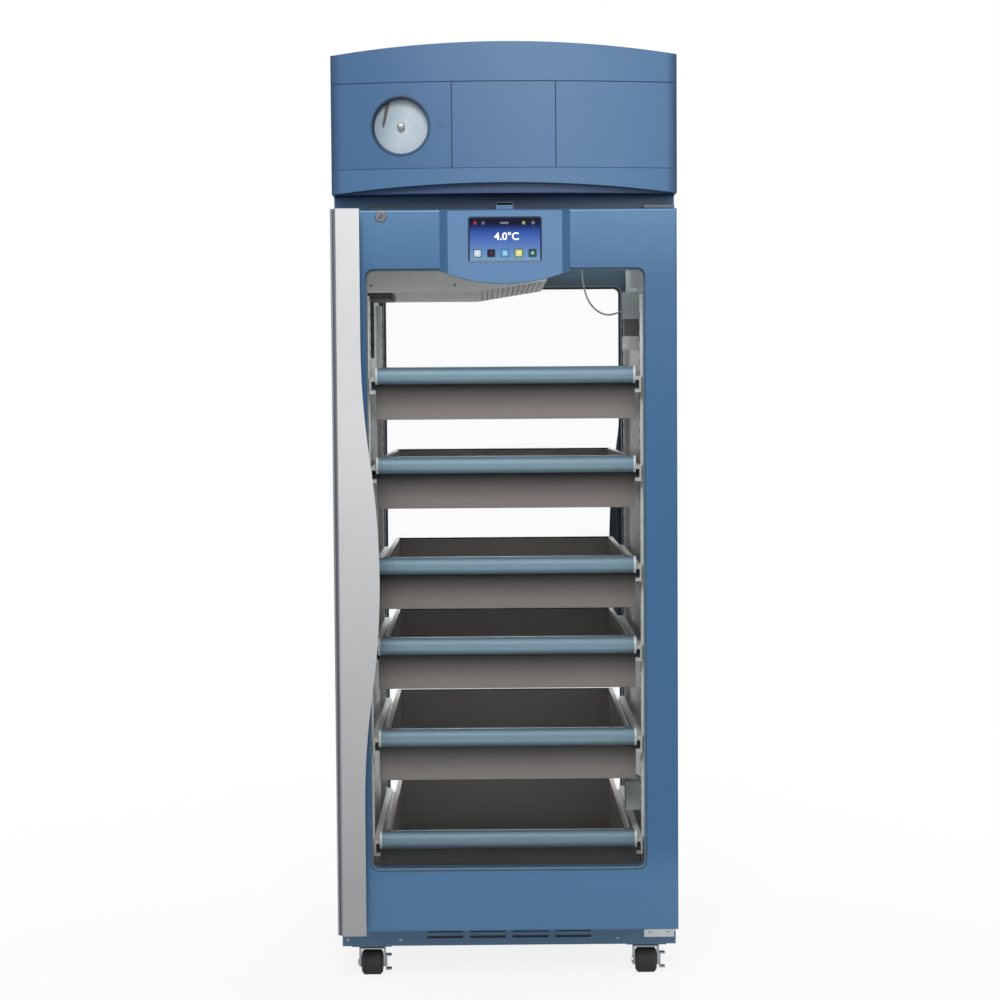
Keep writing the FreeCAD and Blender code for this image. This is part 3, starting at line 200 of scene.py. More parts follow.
# %% Materials as formulas
class Finish(Network):
    """A material whose nodes are written as formulas."""

    def __init__(self, name):
        self.name = name
        self.material = bpy.data.materials.new(name)
        self.material.use_nodes = True
        super().__init__(self.material.node_tree)
        self.tree.nodes.clear()
        self.output = self.tree.nodes.new("ShaderNodeOutputMaterial")

    def place(self):
        return self.node("ShaderNodeTexCoord", output="Object")

    def axes(self):
        """The object's x, y and z as three wires."""
        return self.split(self.place())

    def noise(self, scale, stretch=(1, 1, 1), detail=3.0, rough=0.5):
        spread = self.node("ShaderNodeMapping", {}, {"Vector": self.place(), "Scale": stretch})
        return self.node("ShaderNodeTexNoise", {}, {"Vector": spread, "Scale": scale, "Detail": detail,
                                                    "Roughness": rough})

    def mix(self, factor, first, second):
        return self.node("ShaderNodeMix", {"data_type": "RGBA"}, {0: factor, 6: first, 7: second}, output=2)

    def parted(self, tone, parts):
        """Other tones over a first one: each is a colour and where it lies, a function of the axes."""
        for other, where in parts:
            tone = self.mix(where(*self.axes()), tone, other)
        return tone

    def bump(self, height, distance, strength=1.0):
        return self.node("ShaderNodeBump", {}, {"Height": height, "Distance": distance, "Strength": strength})

    def show(self, shader):
        self.tree.links.new(shader.socket, self.output.inputs["Surface"])
        FINISHES[self.name] = self.material

    def surface(self, **inputs):
        names = {key.replace("_", " "): value for key, value in inputs.items()}
        self.show(self.node("ShaderNodeBsdfPrincipled", {}, names))


def linear(red, green, blue):
    """A colour written in screen values from 0 to 255, as the shader wants it."""
    def one(value):
        value /= 255
        return value / 12.92 if value <= 0.04045 else ((value + 0.055) / 1.055) ** 2.4
    return tuple(one(value) for value in (red, green, blue))


def scaled(colour, factor):
    return tuple(channel * factor for channel in colour)


# %% [markdown]
# ## Finishes
# Most of the refrigerator is one of four families. Powder coat has a faint orange peel that only
# shows in its highlights. Moulded plastic has a fine, even grain. Sheet steel is brushed, so its
# highlights stretch along the grain. Rubber is dull and a little dusty. One function makes each
# family, and its numbers make the differences.

# %% Families of finishes


def powder_coat(name, colour, roughness=0.38, coat=0.15, parts=()):
    f = Finish(name)
    cloud = f.noise(3.0, detail=2)
    peel = f.noise(420, detail=1)
    tone = f.parted(f.mix(cloud, scaled(colour, 0.95), scaled(colour, 1.04)), parts)
    f.surface(Base_Color=tone, Roughness=roughness + 0.06 * (cloud - 0.5), Coat_Weight=coat,
              Coat_Roughness=0.25, Normal=f.bump(peel, 0.00012, 0.35))


def moulded(name, colour, roughness=0.5):
    f = Finish(name)
    cloud = f.noise(6.0, detail=2)
    speck = f.noise(1500, detail=2)
    tone = f.mix(cloud, scaled(colour, 0.94), scaled(colour, 1.05))
    f.surface(Base_Color=tone, Roughness=roughness + 0.1 * (speck - 0.5), Normal=f.bump(speck, 0.00008, 0.5))


def brushed(name, colour, roughness=0.36, stretch=(2, 60, 60), streak=0.12, metallic=1.0, parts=()):
    f = Finish(name)
    lines = f.noise(14.0, stretch, detail=4, rough=0.65)
    cloud = f.noise(2.2, detail=2)
    tone = f.parted(f.mix(lines, scaled(colour, 1 - streak), scaled(colour, 1 + streak * 0.6)), parts)
    matt = roughness + 0.14 * (lines - 0.5) + 0.08 * (cloud - 0.5)
    f.surface(Base_Color=tone, Metallic=metallic, Roughness=matt, Normal=f.bump(lines, 0.00006, 0.4))


def rubbery(name, colour, roughness=0.75):
    f = Finish(name)
    dust = f.noise(40, detail=4)
    tone = f.mix(dust * dust, colour, scaled(colour, 1.6))
    f.surface(Base_Color=tone, Roughness=roughness + 0.15 * (dust - 0.5), Normal=f.bump(dust, 0.0001, 0.4))


# %% [markdown]
# ## Painted light and shade by place
# Some light and shade is painted into the finishes: the paint is lighter towards the top and the foot, the recess
# behind the header's lip is painted dark as shade, and each drawer's front has a painted shadow under its grip.
# Many small lamps could give that light, but they would light the other sides too. So a finish mixes in a second
# tone where a short function of the object's own x, y and z gives 1. The header's front lies on a circle through
# its two ends and its middle, which tells how deep the recess is at each x.

# %% Where painted light and shade lie
HEADER_HALF = 0.3685
BOW_FRONT, BOW_SAG = -0.451, 0.038
BOW_RADIUS = (HEADER_HALF ** 2 + BOW_SAG ** 2) / (2 * BOW_SAG)
LIP_THICK, LIP_FOOT, LIP_TOP = 0.009, 1.742, 1.765
END_START, END_SIDE = 0.356, 0.3677
GRIPS = [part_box(f"drawer_{number}_grip") for number in range(1, 7)]
GRIP_SHADE = 0.062
BIN_FRONT, BIN_BACK = (corner.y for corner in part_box("drawer_1_bin"))
DOOR_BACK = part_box("rear_door_frame")[0].y
print(f"the header's bow has a radius of {BOW_RADIUS:.3f} m")


def shaded_under_lip(x, y, z):
    """1 on the recess that lies behind the header's arched lip, where painted shade goes."""
    behind = (-BOW_FRONT - y.size() - x * x / (2 * BOW_RADIUS)).above(LIP_THICK, 0.003)
    return behind * z.under(LIP_FOOT, 0.02)


def shaded_header_ends(x, y, z):
    """1 on the header's two rounded ends, but not on its flat sides, where painted shade goes."""
    return x.size().above(END_START, 0.02) * x.size().under(END_SIDE, 0.0008)


def near_grips(z, part, reach):
    """1 at a part of each grip's height, fading to 0 a short way above and below."""
    near = 0
    for low, high in GRIPS:
        middle = low.z + (high.z - low.z) * part
        near = (1 - ((z - middle) / reach).size()).math("MAXIMUM", 0) + near
    return near


def bin_front(x, y, z):
    return y.under(BIN_FRONT + 0.004)


# %% [markdown]
# The blues, greys and steels below are the refrigerator's own, with the painted light and shade above mixed into
# some of them. Each slot of the record gets one finish of its name, so that a new piece that names a slot gets
# that slot's finish.

# %% Paints, plastics and rubbers
HEADER_BLUE = linear(51, 92, 134)
CABINET_BLUE = linear(46, 94, 137)
# Painted light on the cabinet and doors: the blue is lighter towards the top and towards the foot. Below the base
# strip's top the blue is lighter too.
PAINTED_LIGHT_TOP, PAINTED_LIGHT_FOOT, BASE_STRIP_TOP = 1.60, 0.27, 0.115
CABINET_PAINTED_LIGHT_AND_TONE = [(linear(70, 116, 156), lambda x, y, z: z.above(PAINTED_LIGHT_TOP, 0.14)),
                 (linear(66, 111, 150), lambda x, y, z: z.under(PAINTED_LIGHT_FOOT, 0.08)),
                 (linear(80, 120, 152), lambda x, y, z: z.under(BASE_STRIP_TOP))]
# Painted shade on the inner face of each door: a darker, greyer blue.
DOOR_INSIDE_SHADE = (linear(52, 76, 92), lambda x, y, z: y.size().under(DOOR_BACK + 0.002, 0.001))
# Painted light and shade on the header: lighter towards the right and below the lip's top, as lit from the right
# and above; painted shade on its rounded ends and in the recess behind the lip.
HEADER_PAINTED_LIGHT_AND_SHADE = [(linear(70, 110, 148), lambda x, y, z: x.above(0.0, 0.5)),
                (linear(66, 108, 148), lambda x, y, z: z.under(LIP_TOP) * 0.5),
                (linear(26, 58, 92), shaded_header_ends),
                (linear(16, 56, 98), shaded_under_lip)]

powder_coat("pale_enamel", linear(196, 204, 212))
powder_coat("white_enamel", linear(248, 251, 248), roughness=0.34)
powder_coat("blue_enamel", CABINET_BLUE, roughness=0.34, parts=CABINET_PAINTED_LIGHT_AND_TONE)
powder_coat("black_enamel", linear(30, 31, 33), roughness=0.3)
powder_coat("blue_plastic", HEADER_BLUE, roughness=0.4, coat=0.1, parts=HEADER_PAINTED_LIGHT_AND_SHADE)
moulded("foam", linear(214, 204, 170), roughness=0.9)
moulded("blue_grey_plastic", linear(80, 121, 162), roughness=0.42)
moulded("dark_plastic", linear(44, 50, 58))
moulded("grey_plastic", linear(206, 208, 210), roughness=0.42)
rubbery("gasket_rubber", linear(120, 124, 128), roughness=0.6)
rubbery("castor_rubber", linear(34, 34, 35))
rubbery("lead_sheath", linear(168, 168, 166), roughness=0.5)

# %% Metals
UPRIGHT_GRAIN = (60, 60, 2)
# Painted shade on the drawer fronts: darker than the inside of the bin, with a painted shadow under each grip.
BIN_PAINTED_SHADE = [(linear(128, 122, 119), bin_front),
             (linear(6, 9, 14), lambda x, y, z: near_grips(z, 0, GRIP_SHADE) * bin_front(x, y, z))]
# A painted highlight: a lighter band a little below the middle of each grip.
GRIP_PAINTED_HIGHLIGHT = [(linear(132, 160, 176), lambda x, y, z: near_grips(z, 0.36, 0.013))]

brushed("bright_steel", linear(244, 247, 244), stretch=UPRIGHT_GRAIN, metallic=0.3)
brushed("drawer_steel", linear(152, 146, 142), roughness=0.42, metallic=0.85, parts=BIN_PAINTED_SHADE)
brushed("zinc_steel", linear(176, 178, 180), roughness=0.34)
brushed("anodised_blue", linear(92, 116, 130), roughness=0.5, streak=0.05, metallic=0.4, parts=GRIP_PAINTED_HIGHLIGHT)
brushed("aluminium", linear(196, 198, 200), roughness=0.3, stretch=UPRIGHT_GRAIN)
brushed("copper", linear(190, 120, 84), roughness=0.3)
brushed("brass", linear(124, 92, 66), roughness=0.4)
brushed("chrome", linear(104, 108, 114), streak=0.03)
print(len(FINISHES), "finishes for the record's slots")

# %% [markdown]
# Some pieces share a slot with others but look a little different, such as the satin handle with its painted
# light, the pale caps, the painted shade on the inner face of a door or the ring with painted shade where it
# shades the chart. Their finishes come from the same families. The chamber's lights are lit, so their cover
# glows.

# %% Finishes of single pieces
EVEN_GRAIN = (1, 1, 1)
HANDLE_EDGE = 0.3590
RIM_BEND = 0.012
# Painted light on the handle: lighter towards the top and darker towards the foot, with painted shade on its
# bevelled edge.
HANDLE_PAINTED_LIGHT = [(linear(186, 187, 188), lambda x, y, z: z.above(1.5, 0.5)),
                (linear(164, 164, 166), lambda x, y, z: z.under(0.68, 0.9)),
                (linear(150, 150, 156), lambda x, y, z: x.size().above(HANDLE_EDGE))]
# Painted shade on the rolled rims: darker along the front of each bin, and darker still along the back.
RIM_PAINTED_SHADE = [(linear(84, 96, 104), lambda x, y, z: y.under(BIN_FRONT + RIM_BEND, 0.003)),
             (linear(30, 50, 66), lambda x, y, z: y.above(BIN_BACK - RIM_BEND, 0.003))]
PLATE_PARTS = [(linear(214, 218, 222), lambda x, y, z: z.under(0.3))]

powder_coat("door_enamel", CABINET_BLUE, roughness=0.34, parts=[*CABINET_PAINTED_LIGHT_AND_TONE, DOOR_INSIDE_SHADE])
powder_coat("evaporator_paint", linear(250, 250, 247), roughness=0.4, coat=0.2)
moulded("cap_plastic", linear(214, 218, 222), roughness=0.4)
moulded("screen_frame", linear(30, 44, 74), roughness=0.3)
moulded("hub_plastic", linear(96, 98, 100))
moulded("vent_dark", linear(18, 26, 38), roughness=0.7)
rubbery("bead_rubber", linear(58, 70, 84), roughness=0.6)
rubbery("bead_grey", linear(88, 104, 116), roughness=0.65)
# Painted shade for the gaps between the header's panels.
rubbery("seam_rubber", linear(34, 58, 92), roughness=0.7)
brushed("satin_silver", linear(206, 207, 208), roughness=0.4, stretch=(50, 50, 1.5), streak=0.05,
        metallic=0.75, parts=HANDLE_PAINTED_LIGHT)
brushed("rim_steel", linear(196, 200, 200), roughness=0.34, metallic=0.7, parts=RIM_PAINTED_SHADE)
brushed("hook_steel", linear(168, 170, 168), roughness=0.34, metallic=0.7)
brushed("screw_steel", linear(182, 184, 186), roughness=0.28, stretch=EVEN_GRAIN, metallic=0.9)
# The plates above 0.3 m, under the header, are painted dark as shade; the lower hinge plates are pale steel.
brushed("plate_steel", linear(84, 94, 104), roughness=0.45, metallic=0.7, parts=PLATE_PARTS)
brushed("pen_brass", linear(66, 60, 56), roughness=0.45, stretch=EVEN_GRAIN, metallic=0.6)
brushed("chart_knob", linear(146, 148, 146), roughness=0.3, stretch=EVEN_GRAIN, metallic=0.7)

# %% Chart ring, bottles, lights and reading
CHART_CENTRE = (-0.219, 1.856)
HOLDER_DARK_TOP = 1.4525


def make_shaded_blue():
    """The header's blue with painted shade, darker on the side of the ring that shades the chart."""
    f = Finish("shaded_blue")
    x, _, z = f.axes()
    shade = (((z - CHART_CENTRE[1]) * 0.8 - (x - CHART_CENTRE[0])) / 0.06 + 0.4).clamped()
    f.surface(Base_Color=f.mix(shade, scaled(HEADER_BLUE, 0.75), scaled(HEADER_BLUE, 0.3)), Roughness=0.5)


def make_bottle_plastic():
    """Pale above and dark below on the upper holder; pale on the lower one."""
    f = Finish("bottle_plastic")
    _, _, z = f.axes()
    speck = f.noise(900, detail=2)
    dark = z.above(1.0) * z.under(HOLDER_DARK_TOP)
    tone = f.mix(dark, f.mix(speck, linear(150, 156, 156), linear(170, 176, 176)), linear(58, 60, 60))
    f.surface(Base_Color=tone, Roughness=0.45, Normal=f.bump(speck, 0.0001, 0.4))


def make_light_diffuser():
    f = Finish("light_diffuser")
    f.surface(Base_Color=linear(238, 240, 242), Roughness=0.55, Emission_Color=linear(244, 250, 255),
              Emission_Strength=5.0)


def make_screen_white():
    f = Finish("screen_white")
    cloud = f.noise(60, detail=1)
    glow = f.mix(cloud, linear(226, 234, 246), linear(248, 250, 255))
    f.surface(Base_Color=linear(200, 208, 220), Roughness=0.4, Emission_Color=glow, Emission_Strength=0.8)


make_shaded_blue()
make_bottle_plastic()
make_light_diffuser()
make_screen_white()

# %% [markdown]
# Glass, paper and the screen are their own finishes. A pane is nearly clear: a transparent shader with a faint
# mirror that grows a little at grazing angles, so that both doors can be seen through and neither looks frosted.
# The chart is printed with rings and hour lines, and the shadow of the window's edge is painted on one side of
# it. The screen glows from navy at its top to pale blue, with a row of five plain buttons, drawn by how far each
# point lies from a button's middle.

# %% Glass and chart
CHART_RING_PITCH = 0.0052
CHART_HOURS = 24
PRINT_INNER, PRINT_OUTER = 0.017, 0.071


def make_clear_glass():
    f = Finish("clear_glass")
    clear = f.node("ShaderNodeBsdfTransparent", {}, {"Color": (0.9985, 0.9995, 0.999)})
    mirror = {"Base Color": (0.90, 0.95, 0.95), "Roughness": 0.04, "Metallic": 1.0}
    shine = f.node("ShaderNodeBsdfPrincipled", {}, mirror)
    edge = f.node("ShaderNodeFresnel", {}, {"IOR": 1.3})
    f.show(f.node("ShaderNodeMixShader", {}, (edge * 0.25 + 0.001, clear, shine)))


def make_chart_paper():
    f = Finish("chart_paper")
    x, _, z = f.axes()
    across, up = x - CHART_CENTRE[0], z - CHART_CENTRE[1]
    reach = across.reach(up)
    ring = (reach / CHART_RING_PITCH).math("FRACT")
    rings = (ring - 0.5).size().above(0.44, 0.04)
    turn = up.math("ARCTAN2", across) + reach * 6
    hour = (turn * (CHART_HOURS / (2 * pi))).math("FRACT")
    hours = (hour - 0.5).size().above(0.475, 0.02)
    ink = rings.math("MAXIMUM", hours) * (reach.above(PRINT_INNER) * reach.under(PRINT_OUTER))
    paper = f.mix(f.noise(30, detail=3), linear(176, 190, 198), linear(192, 204, 211))
    printed = f.mix(ink * 0.4, paper, linear(122, 150, 154))
    # Painted shadow of the window's edge on the paper, darker towards the upper left.
    shade = ((up * 0.35 - across) / 0.062 + 0.1).clamped()
    f.surface(Base_Color=f.mix(shade * 0.7, printed, linear(96, 118, 134)), Roughness=0.8)


make_clear_glass()
make_chart_paper()

# %% Screen
SCREEN_LOW, SCREEN_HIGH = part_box("display_screen")
SCREEN_CENTRE = (SCREEN_LOW + SCREEN_HIGH) / 2
SCREEN_RAMP = [(0.0, (124, 168, 206)), (0.2, (108, 148, 196)), (0.42, (86, 122, 196)), (0.68, (48, 84, 168)),
               (0.8, (24, 40, 96)), (0.86, (10, 16, 44)), (1.0, (16, 18, 34))]
BUTTON_PITCH, BUTTON_DROP = 0.0293, 0.0293
BUTTON_HALF, BUTTON_RIM, MARK_HALF = 0.0088, 0.0016, 0.0034
BUTTONS = [((206, 222, 240), (240, 246, 250)), ((46, 36, 58), (120, 50, 56)), ((120, 184, 228), (206, 228, 240)),
           ((226, 226, 120), (250, 250, 226)), ((52, 84, 84), (190, 216, 196))]
BAR_RISE, DOT_RADIUS = 0.0345, 0.0036
BAR_DOTS = [(-0.0630, (170, 58, 62)), (-0.0460, (104, 112, 136)), (0.0400, (150, 178, 120)),
            (0.0600, (112, 126, 140))]
DASH_MIDDLE, DASH_HALF, DASH_THICK = -0.001, 0.009, 0.002


def make_screen():
    f = Finish("screen_glass")
    x, _, z = f.axes()
    rise = (z - SCREEN_LOW.z) / (SCREEN_HIGH.z - SCREEN_LOW.z)
    stops = [(place, linear(*colour)) for place, colour in SCREEN_RAMP]
    glow = f.node("ShaderNodeValToRGB", {"stops": stops}, {0: rise})
    low = (z - (SCREEN_CENTRE.z - BUTTON_DROP)).size()
    for number, (fill, mark) in enumerate(BUTTONS):
        reach = (x - (number - 2) * BUTTON_PITCH).size().math("SMOOTH_MAX", low, 0.004)
        glow = f.mix(reach.under(BUTTON_HALF, 0.0006), glow, linear(44, 82, 104))
        glow = f.mix(reach.under(BUTTON_HALF - BUTTON_RIM, 0.0006), glow, linear(*fill))
        glow = f.mix(reach.under(MARK_HALF, 0.001) * 0.8, glow, linear(*mark))
    bar = z - (SCREEN_CENTRE.z + BAR_RISE)
    for place, colour in BAR_DOTS:
        glow = f.mix((x - place).reach(bar).under(DOT_RADIUS, 0.001), glow, linear(*colour))
    dash = (x - DASH_MIDDLE).size().under(DASH_HALF, 0.001) * bar.size().under(DASH_THICK, 0.001)
    glow = f.mix(dash * 0.7, glow, linear(150, 158, 178))
    rim = (x.size() / SCREEN_HIGH.x).above(0.975, 0.01)
    glow = f.mix(rim, glow, linear(22, 30, 62))
    f.surface(Base_Color=linear(10, 12, 20), Roughness=0.3, Specular_IOR_Level=0.06, Emission_Color=glow,
              Emission_Strength=0.9)


make_screen()

# %% Give every node its finish
NODE_FINISHES = {"front_door_handle": "satin_silver", "rear_door_handle": "satin_silver",
                 "front_door_frame": "door_enamel", "rear_door_frame": "door_enamel",
                 "probe_bottles": "bottle_plastic", "hinge_plates_and_keepers": "plate_steel",
                 "evaporator_cover": "evaporator_paint"}

for row in frame["record"]["subparts"]:
    obj = NODES[row["node"]]
    material = FINISHES[NODE_FINISHES.get(row["node"], row["material_slot"])]
    if not obj.material_slots:
        obj.data.materials.append(material)
    for slot in obj.material_slots:
        slot.material = material
print(len(FINISHES), "finishes in all")

# %% [markdown]
# ## The probe's lead
# The lead is the one free cord on the refrigerator. It leaves the ceiling, hangs in one loop and
# goes back into the side of the upper bottle's holder. A NURBS curve of order 3 through a few
# chosen points sags the way a soft lead does, where a line with rounded corners looks bent.

# %% Probe lead
LEAD_END = Vector((0.266, -0.2, 1.64))
LEAD_STEPS = [
    (-90, 50, -0.3), (-91, 49, -28), (-89.5, 46, -74), (-85, 40, -119), (-70, 30, -156),
    (-43, 18, -176), (-20, 7, -176.5), (-1, 0.3, -168.4),
]
LEAD_DIAMETER = 0.004


def make_lead():
    curve = bpy.data.curves.new("probe_lead_cord", "CURVE")
    curve.dimensions = "3D"
    curve.bevel_depth = LEAD_DIAMETER / 2
    curve.bevel_resolution = 4
    curve.use_fill_caps = True
    spline = curve.splines.new("NURBS")
    spline.points.add(len(LEAD_STEPS) - 1)
    for point, step in zip(spline.points, LEAD_STEPS):
        point.co = (*(LEAD_END + Vector(step) / 1000), 1)
    spline.order_u = 3
    spline.use_endpoint_u = True
    spline.resolution_u = 12
    cord = add_object("probe_lead_cord", curve)
    curve.materials.append(FINISHES["lead_sheath"])
    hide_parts("probe_lead")
    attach(cord, "cabinet")
    print("probe_lead_cord:", len(LEAD_STEPS), "points")


make_lead()

# %% [markdown]
# ## Making pieces
# Nearly every trim piece is a closed line that steps outwards and forwards: a bezel, a rim, a cap,
# a ring. `Shape.steps` takes such a line as a function of how far it has grown, and lofts it from
# step to step, which keeps the same number of corners in each loop and so gives clean quads.
# `Shape.pipe` bends a round bar along a path. `keep` turns the result into a finished piece: smooth-shaded, with
# its material and the body that it rides on. Front and rear are the same, turned by half a turn, so most pieces
# are drawn once, for the front.

# %% Piece helpers
FACING = {
    "x": lambda u, v, depth: Vector((depth, u, v)),
    "y": lambda u, v, depth: Vector((u, depth, v)),
    "z": lambda u, v, depth: Vector((u, v, depth)),
}
SIDES = (("front", False), ("rear", True))
SMOOTH_UNDER = 40


def on_side(points, turned):
    """Points of the front, or the same points turned half round to the rear."""
    return [(-x, -y, z) for x, y, z in points] if turned else points


def keep(name, mesh, body, slot_name, finish=None):
    mesh.polygons.foreach_set("use_smooth", [True] * len(mesh.polygons))
    mesh.set_sharp_from_angle(angle=radians(SMOOTH_UNDER))
    mesh.materials.clear()
    mesh.materials.append(FINISHES[finish or slot_name])
    piece = add_object(name, mesh)
    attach(piece, body)
    print(f"{name}: {len(mesh.polygons)} faces")
    return piece


def circle(radius, centre=(0, 0), corners=48):
    return [(centre[0] + radius * cos(2 * pi * i / corners), centre[1] + radius * sin(2 * pi * i / corners))
            for i in range(corners)]


def rounded(half_width, half_height, radius, centre=(0, 0), grow=0.0, corner_steps=6):
    """A rounded rectangle, grown on every side."""
    line = []
    for corner, (side, end) in enumerate(((1, 1), (-1, 1), (-1, -1), (1, -1))):
        middle = (centre[0] + side * (half_width - radius), centre[1] + end * (half_height - radius))
        for step in range(corner_steps + 1):
            turn = (corner + step / corner_steps) * pi / 2
            line.append((middle[0] + (radius + grow) * cos(turn), middle[1] + (radius + grow) * sin(turn)))
    return line


# %% Shapes in the making
class Shape:
    """A mesh in the making, in metres and in the frame's own axes."""

    def __init__(self):
        self.bm = bmesh.new()

    def loft(self, loops, ring=False):
        rows = [[self.bm.verts.new(point) for point in loop] for loop in loops]
        count = len(rows[0])
        for near, far in zip(rows, rows[1:] + (rows[:1] if ring else [])):
            for i in range(count):
                j = (i + 1) % count
                self.bm.faces.new((near[i], near[j], far[j], far[i]))
        if not ring:
            self.bm.faces.new(rows[0])
            self.bm.faces.new(rows[-1][::-1])
        return self

    def steps(self, line, section, facing="y", ring=False):
        """line(grow) is a closed line, and section lists (grow, depth) from step to step."""
        return self.loft([[FACING[facing](u, v, depth) for u, v in line(grow)] for grow, depth in section], ring)

    def block(self, low, high, soft=0.0008, facing="y"):
        """A box with softened edges, from its lowest to its highest corner."""
        order = {"x": (1, 2, 0), "y": (0, 2, 1), "z": (0, 1, 2)}[facing]
        u, v, w = ((low[axis], high[axis]) for axis in order)
        half = ((u[1] - u[0]) / 2, (v[1] - v[0]) / 2)
        middle = ((u[0] + u[1]) / 2, (v[0] + v[1]) / 2)
        section = [(-soft, w[0]), (0, w[0] + soft), (0, w[1] - soft), (-soft, w[1])]
        return self.steps(lambda grow: rounded(*half, soft * 2, middle, grow, 3), section, facing)

    def pipe(self, points, radius, closed=False, sides=2):
        curve = bpy.data.curves.new("path", "CURVE")
        curve.dimensions = "3D"
        curve.bevel_depth = radius
        curve.bevel_resolution = sides
        curve.use_fill_caps = not closed
        spline = curve.splines.new("POLY")
        spline.points.add(len(points) - 1)
        for knot, point in zip(spline.points, points):
            knot.co = (*point, 1)
        spline.use_cyclic_u = closed
        mesh = take_mesh(add_object("path", curve))
        self.bm.from_mesh(mesh)
        bpy.data.meshes.remove(mesh)
        return self

    def finish(self, name, body, slot_name, finish=None, turned=False):
        """Closes the shape into a piece; turned puts it on the opposite side of the refrigerator."""
        bmesh.ops.remove_doubles(self.bm, verts=self.bm.verts, dist=1e-7)
        bmesh.ops.recalc_face_normals(self.bm, faces=self.bm.faces)
        if turned:
            bmesh.ops.scale(self.bm, vec=(-1, -1, 1), verts=self.bm.verts)
        mesh = bpy.data.meshes.new(name)
        self.bm.to_mesh(mesh)
        self.bm.free()
        return keep(name, mesh, body, slot_name, finish)


# %% [markdown]
# What repeats comes from Geometry Nodes: screws, nuts, slots and perforations. Each tree puts one
# small part on every point of a plain mesh and turns it to face its side. The tree's named inputs
# carry the sizes, so the same tree makes a panel screw and a much smaller one. Realizing the
# instances and taking the evaluated mesh leaves one plain piece for each body.

# %% Growing repeats
TURNS = {
    "front": (pi / 2, 0, 0), "rear": (pi / 2, 0, pi), "right": (pi / 2, 0, pi / 2),
    "left": (pi / 2, 0, -pi / 2), "up": (0, 0, 0), "down": (pi, 0, 0),
}


class Repeat(Network):
    """A Geometry Nodes tree that puts one small part on each point."""

    def __init__(self, name, **sizes):
        super().__init__(bpy.data.node_groups.new(name, "GeometryNodeTree"))
        sockets = self.tree.interface
        sockets.new_socket("Geometry", in_out="INPUT", socket_type="NodeSocketGeometry")
        sockets.new_socket("Geometry", in_out="OUTPUT", socket_type="NodeSocketGeometry")
        self.keys = {}
        for size, start in sizes.items():
            made = sockets.new_socket(size, in_out="INPUT", socket_type="NodeSocketFloat")
            made.default_value = start
            self.keys[size] = made.identifier
        for label, kind in (("Turn", "NodeSocketVector"), ("Finish", "NodeSocketMaterial")):
            self.keys[label] = sockets.new_socket(label, in_out="INPUT", socket_type=kind).identifier
        self.entry = self.tree.nodes.new("NodeGroupInput")
        self.exit = self.tree.nodes.new("NodeGroupOutput")

    def given(self, name):
        return Wire(self, self.entry.outputs[name])

    def vector(self, x, y, z):
        return self.node("ShaderNodeCombineXYZ", {}, (x, y, z))

    def rotation(self, angles):
        return self.node("FunctionNodeEulerToRotation", {}, (angles,))

    def raised(self, part, height):
        lift = self.vector(0.0, 0.0, height)
        return self.node("GeometryNodeTransform", {}, {"Geometry": part, "Translation": lift})

    def close(self, part, spin=None):
        placed = self.node("GeometryNodeInstanceOnPoints", {}, {
            "Points": self.given("Geometry"), "Instance": part, "Rotation": self.rotation(self.given("Turn"))})
        if spin:
            placed = self.node("GeometryNodeRotateInstances", {}, {"Instances": placed, "Rotation": spin})
        real = self.node("GeometryNodeRealizeInstances", {}, (placed,))
        done = self.node("GeometryNodeSetMaterial", {}, {"Geometry": real, "Material": self.given("Finish")})
        self.tree.links.new(done.socket, self.exit.inputs[0])
        return self

    def grow(self, name, points, body, slot_name, facing, finish=None, **sizes):
        mesh = bpy.data.meshes.new(name + "_points")
        mesh.from_pydata([tuple(point) for point in points], [], [])
        seed = add_object(name + "_points", mesh)
        modifier = seed.modifiers.new("repeat", "NODES")
        modifier.node_group = self.tree
        for size, value in sizes.items():
            modifier[self.keys[size]] = value
        modifier[self.keys["Turn"]] = TURNS.get(facing, facing)
        modifier[self.keys["Finish"]] = FINISHES[finish or slot_name]
        return keep(name, take_mesh(seed), body, slot_name, finish)


# %% Screws, nuts and slots
def make_screw_tree():
    """A pan head with a cross recess, spun by a seeded amount."""
    t = Repeat("panel_screws", Radius=0.004, Height=0.0016)
    radius, height = t.given("Radius"), t.given("Height")
    head = t.node("GeometryNodeMeshCone", {}, {"Vertices": 20, "Radius Top": radius * 0.66,
                                               "Radius Bottom": radius, "Depth": height})
    bars = []
    for along, across in ((1.1, 0.24), (0.24, 1.1)):
        span = t.vector(radius * along, radius * across, height)
        bars.append(t.raised(t.node("GeometryNodeMeshCube", {}, {"Size": span}), height))
    cut = t.node("GeometryNodeMeshBoolean", {"operation": "DIFFERENCE", "solver": "EXACT"}, {0: head, 1: bars})
    chance = t.node("FunctionNodeRandomValue", {"data_type": "FLOAT"}, {2: 0.0, 3: 2 * pi, 8: 7}, output=1)
    return t.close(cut, t.rotation(t.vector(0.0, 0.0, chance)))


def make_nut_tree():
    """A hexagon nut on a washer, with the axle's end in it."""
    t = Repeat("hexagon_nuts", Radius=0.0065, Height=0.003)
    radius, height = t.given("Radius"), t.given("Height")
    parts = []
    for sides, reach, thick in ((28, 1.25, 0.3), (6, 1.0, 0.9), (16, 0.55, 1.0)):
        flat = t.node("GeometryNodeMeshCylinder", {}, {"Vertices": sides, "Radius": radius * reach,
                                                       "Depth": height * thick})
        parts.append(t.raised(flat, height * (thick / 2)))
    return t.close(t.node("GeometryNodeJoinGeometry", {}, {"Geometry": parts}))


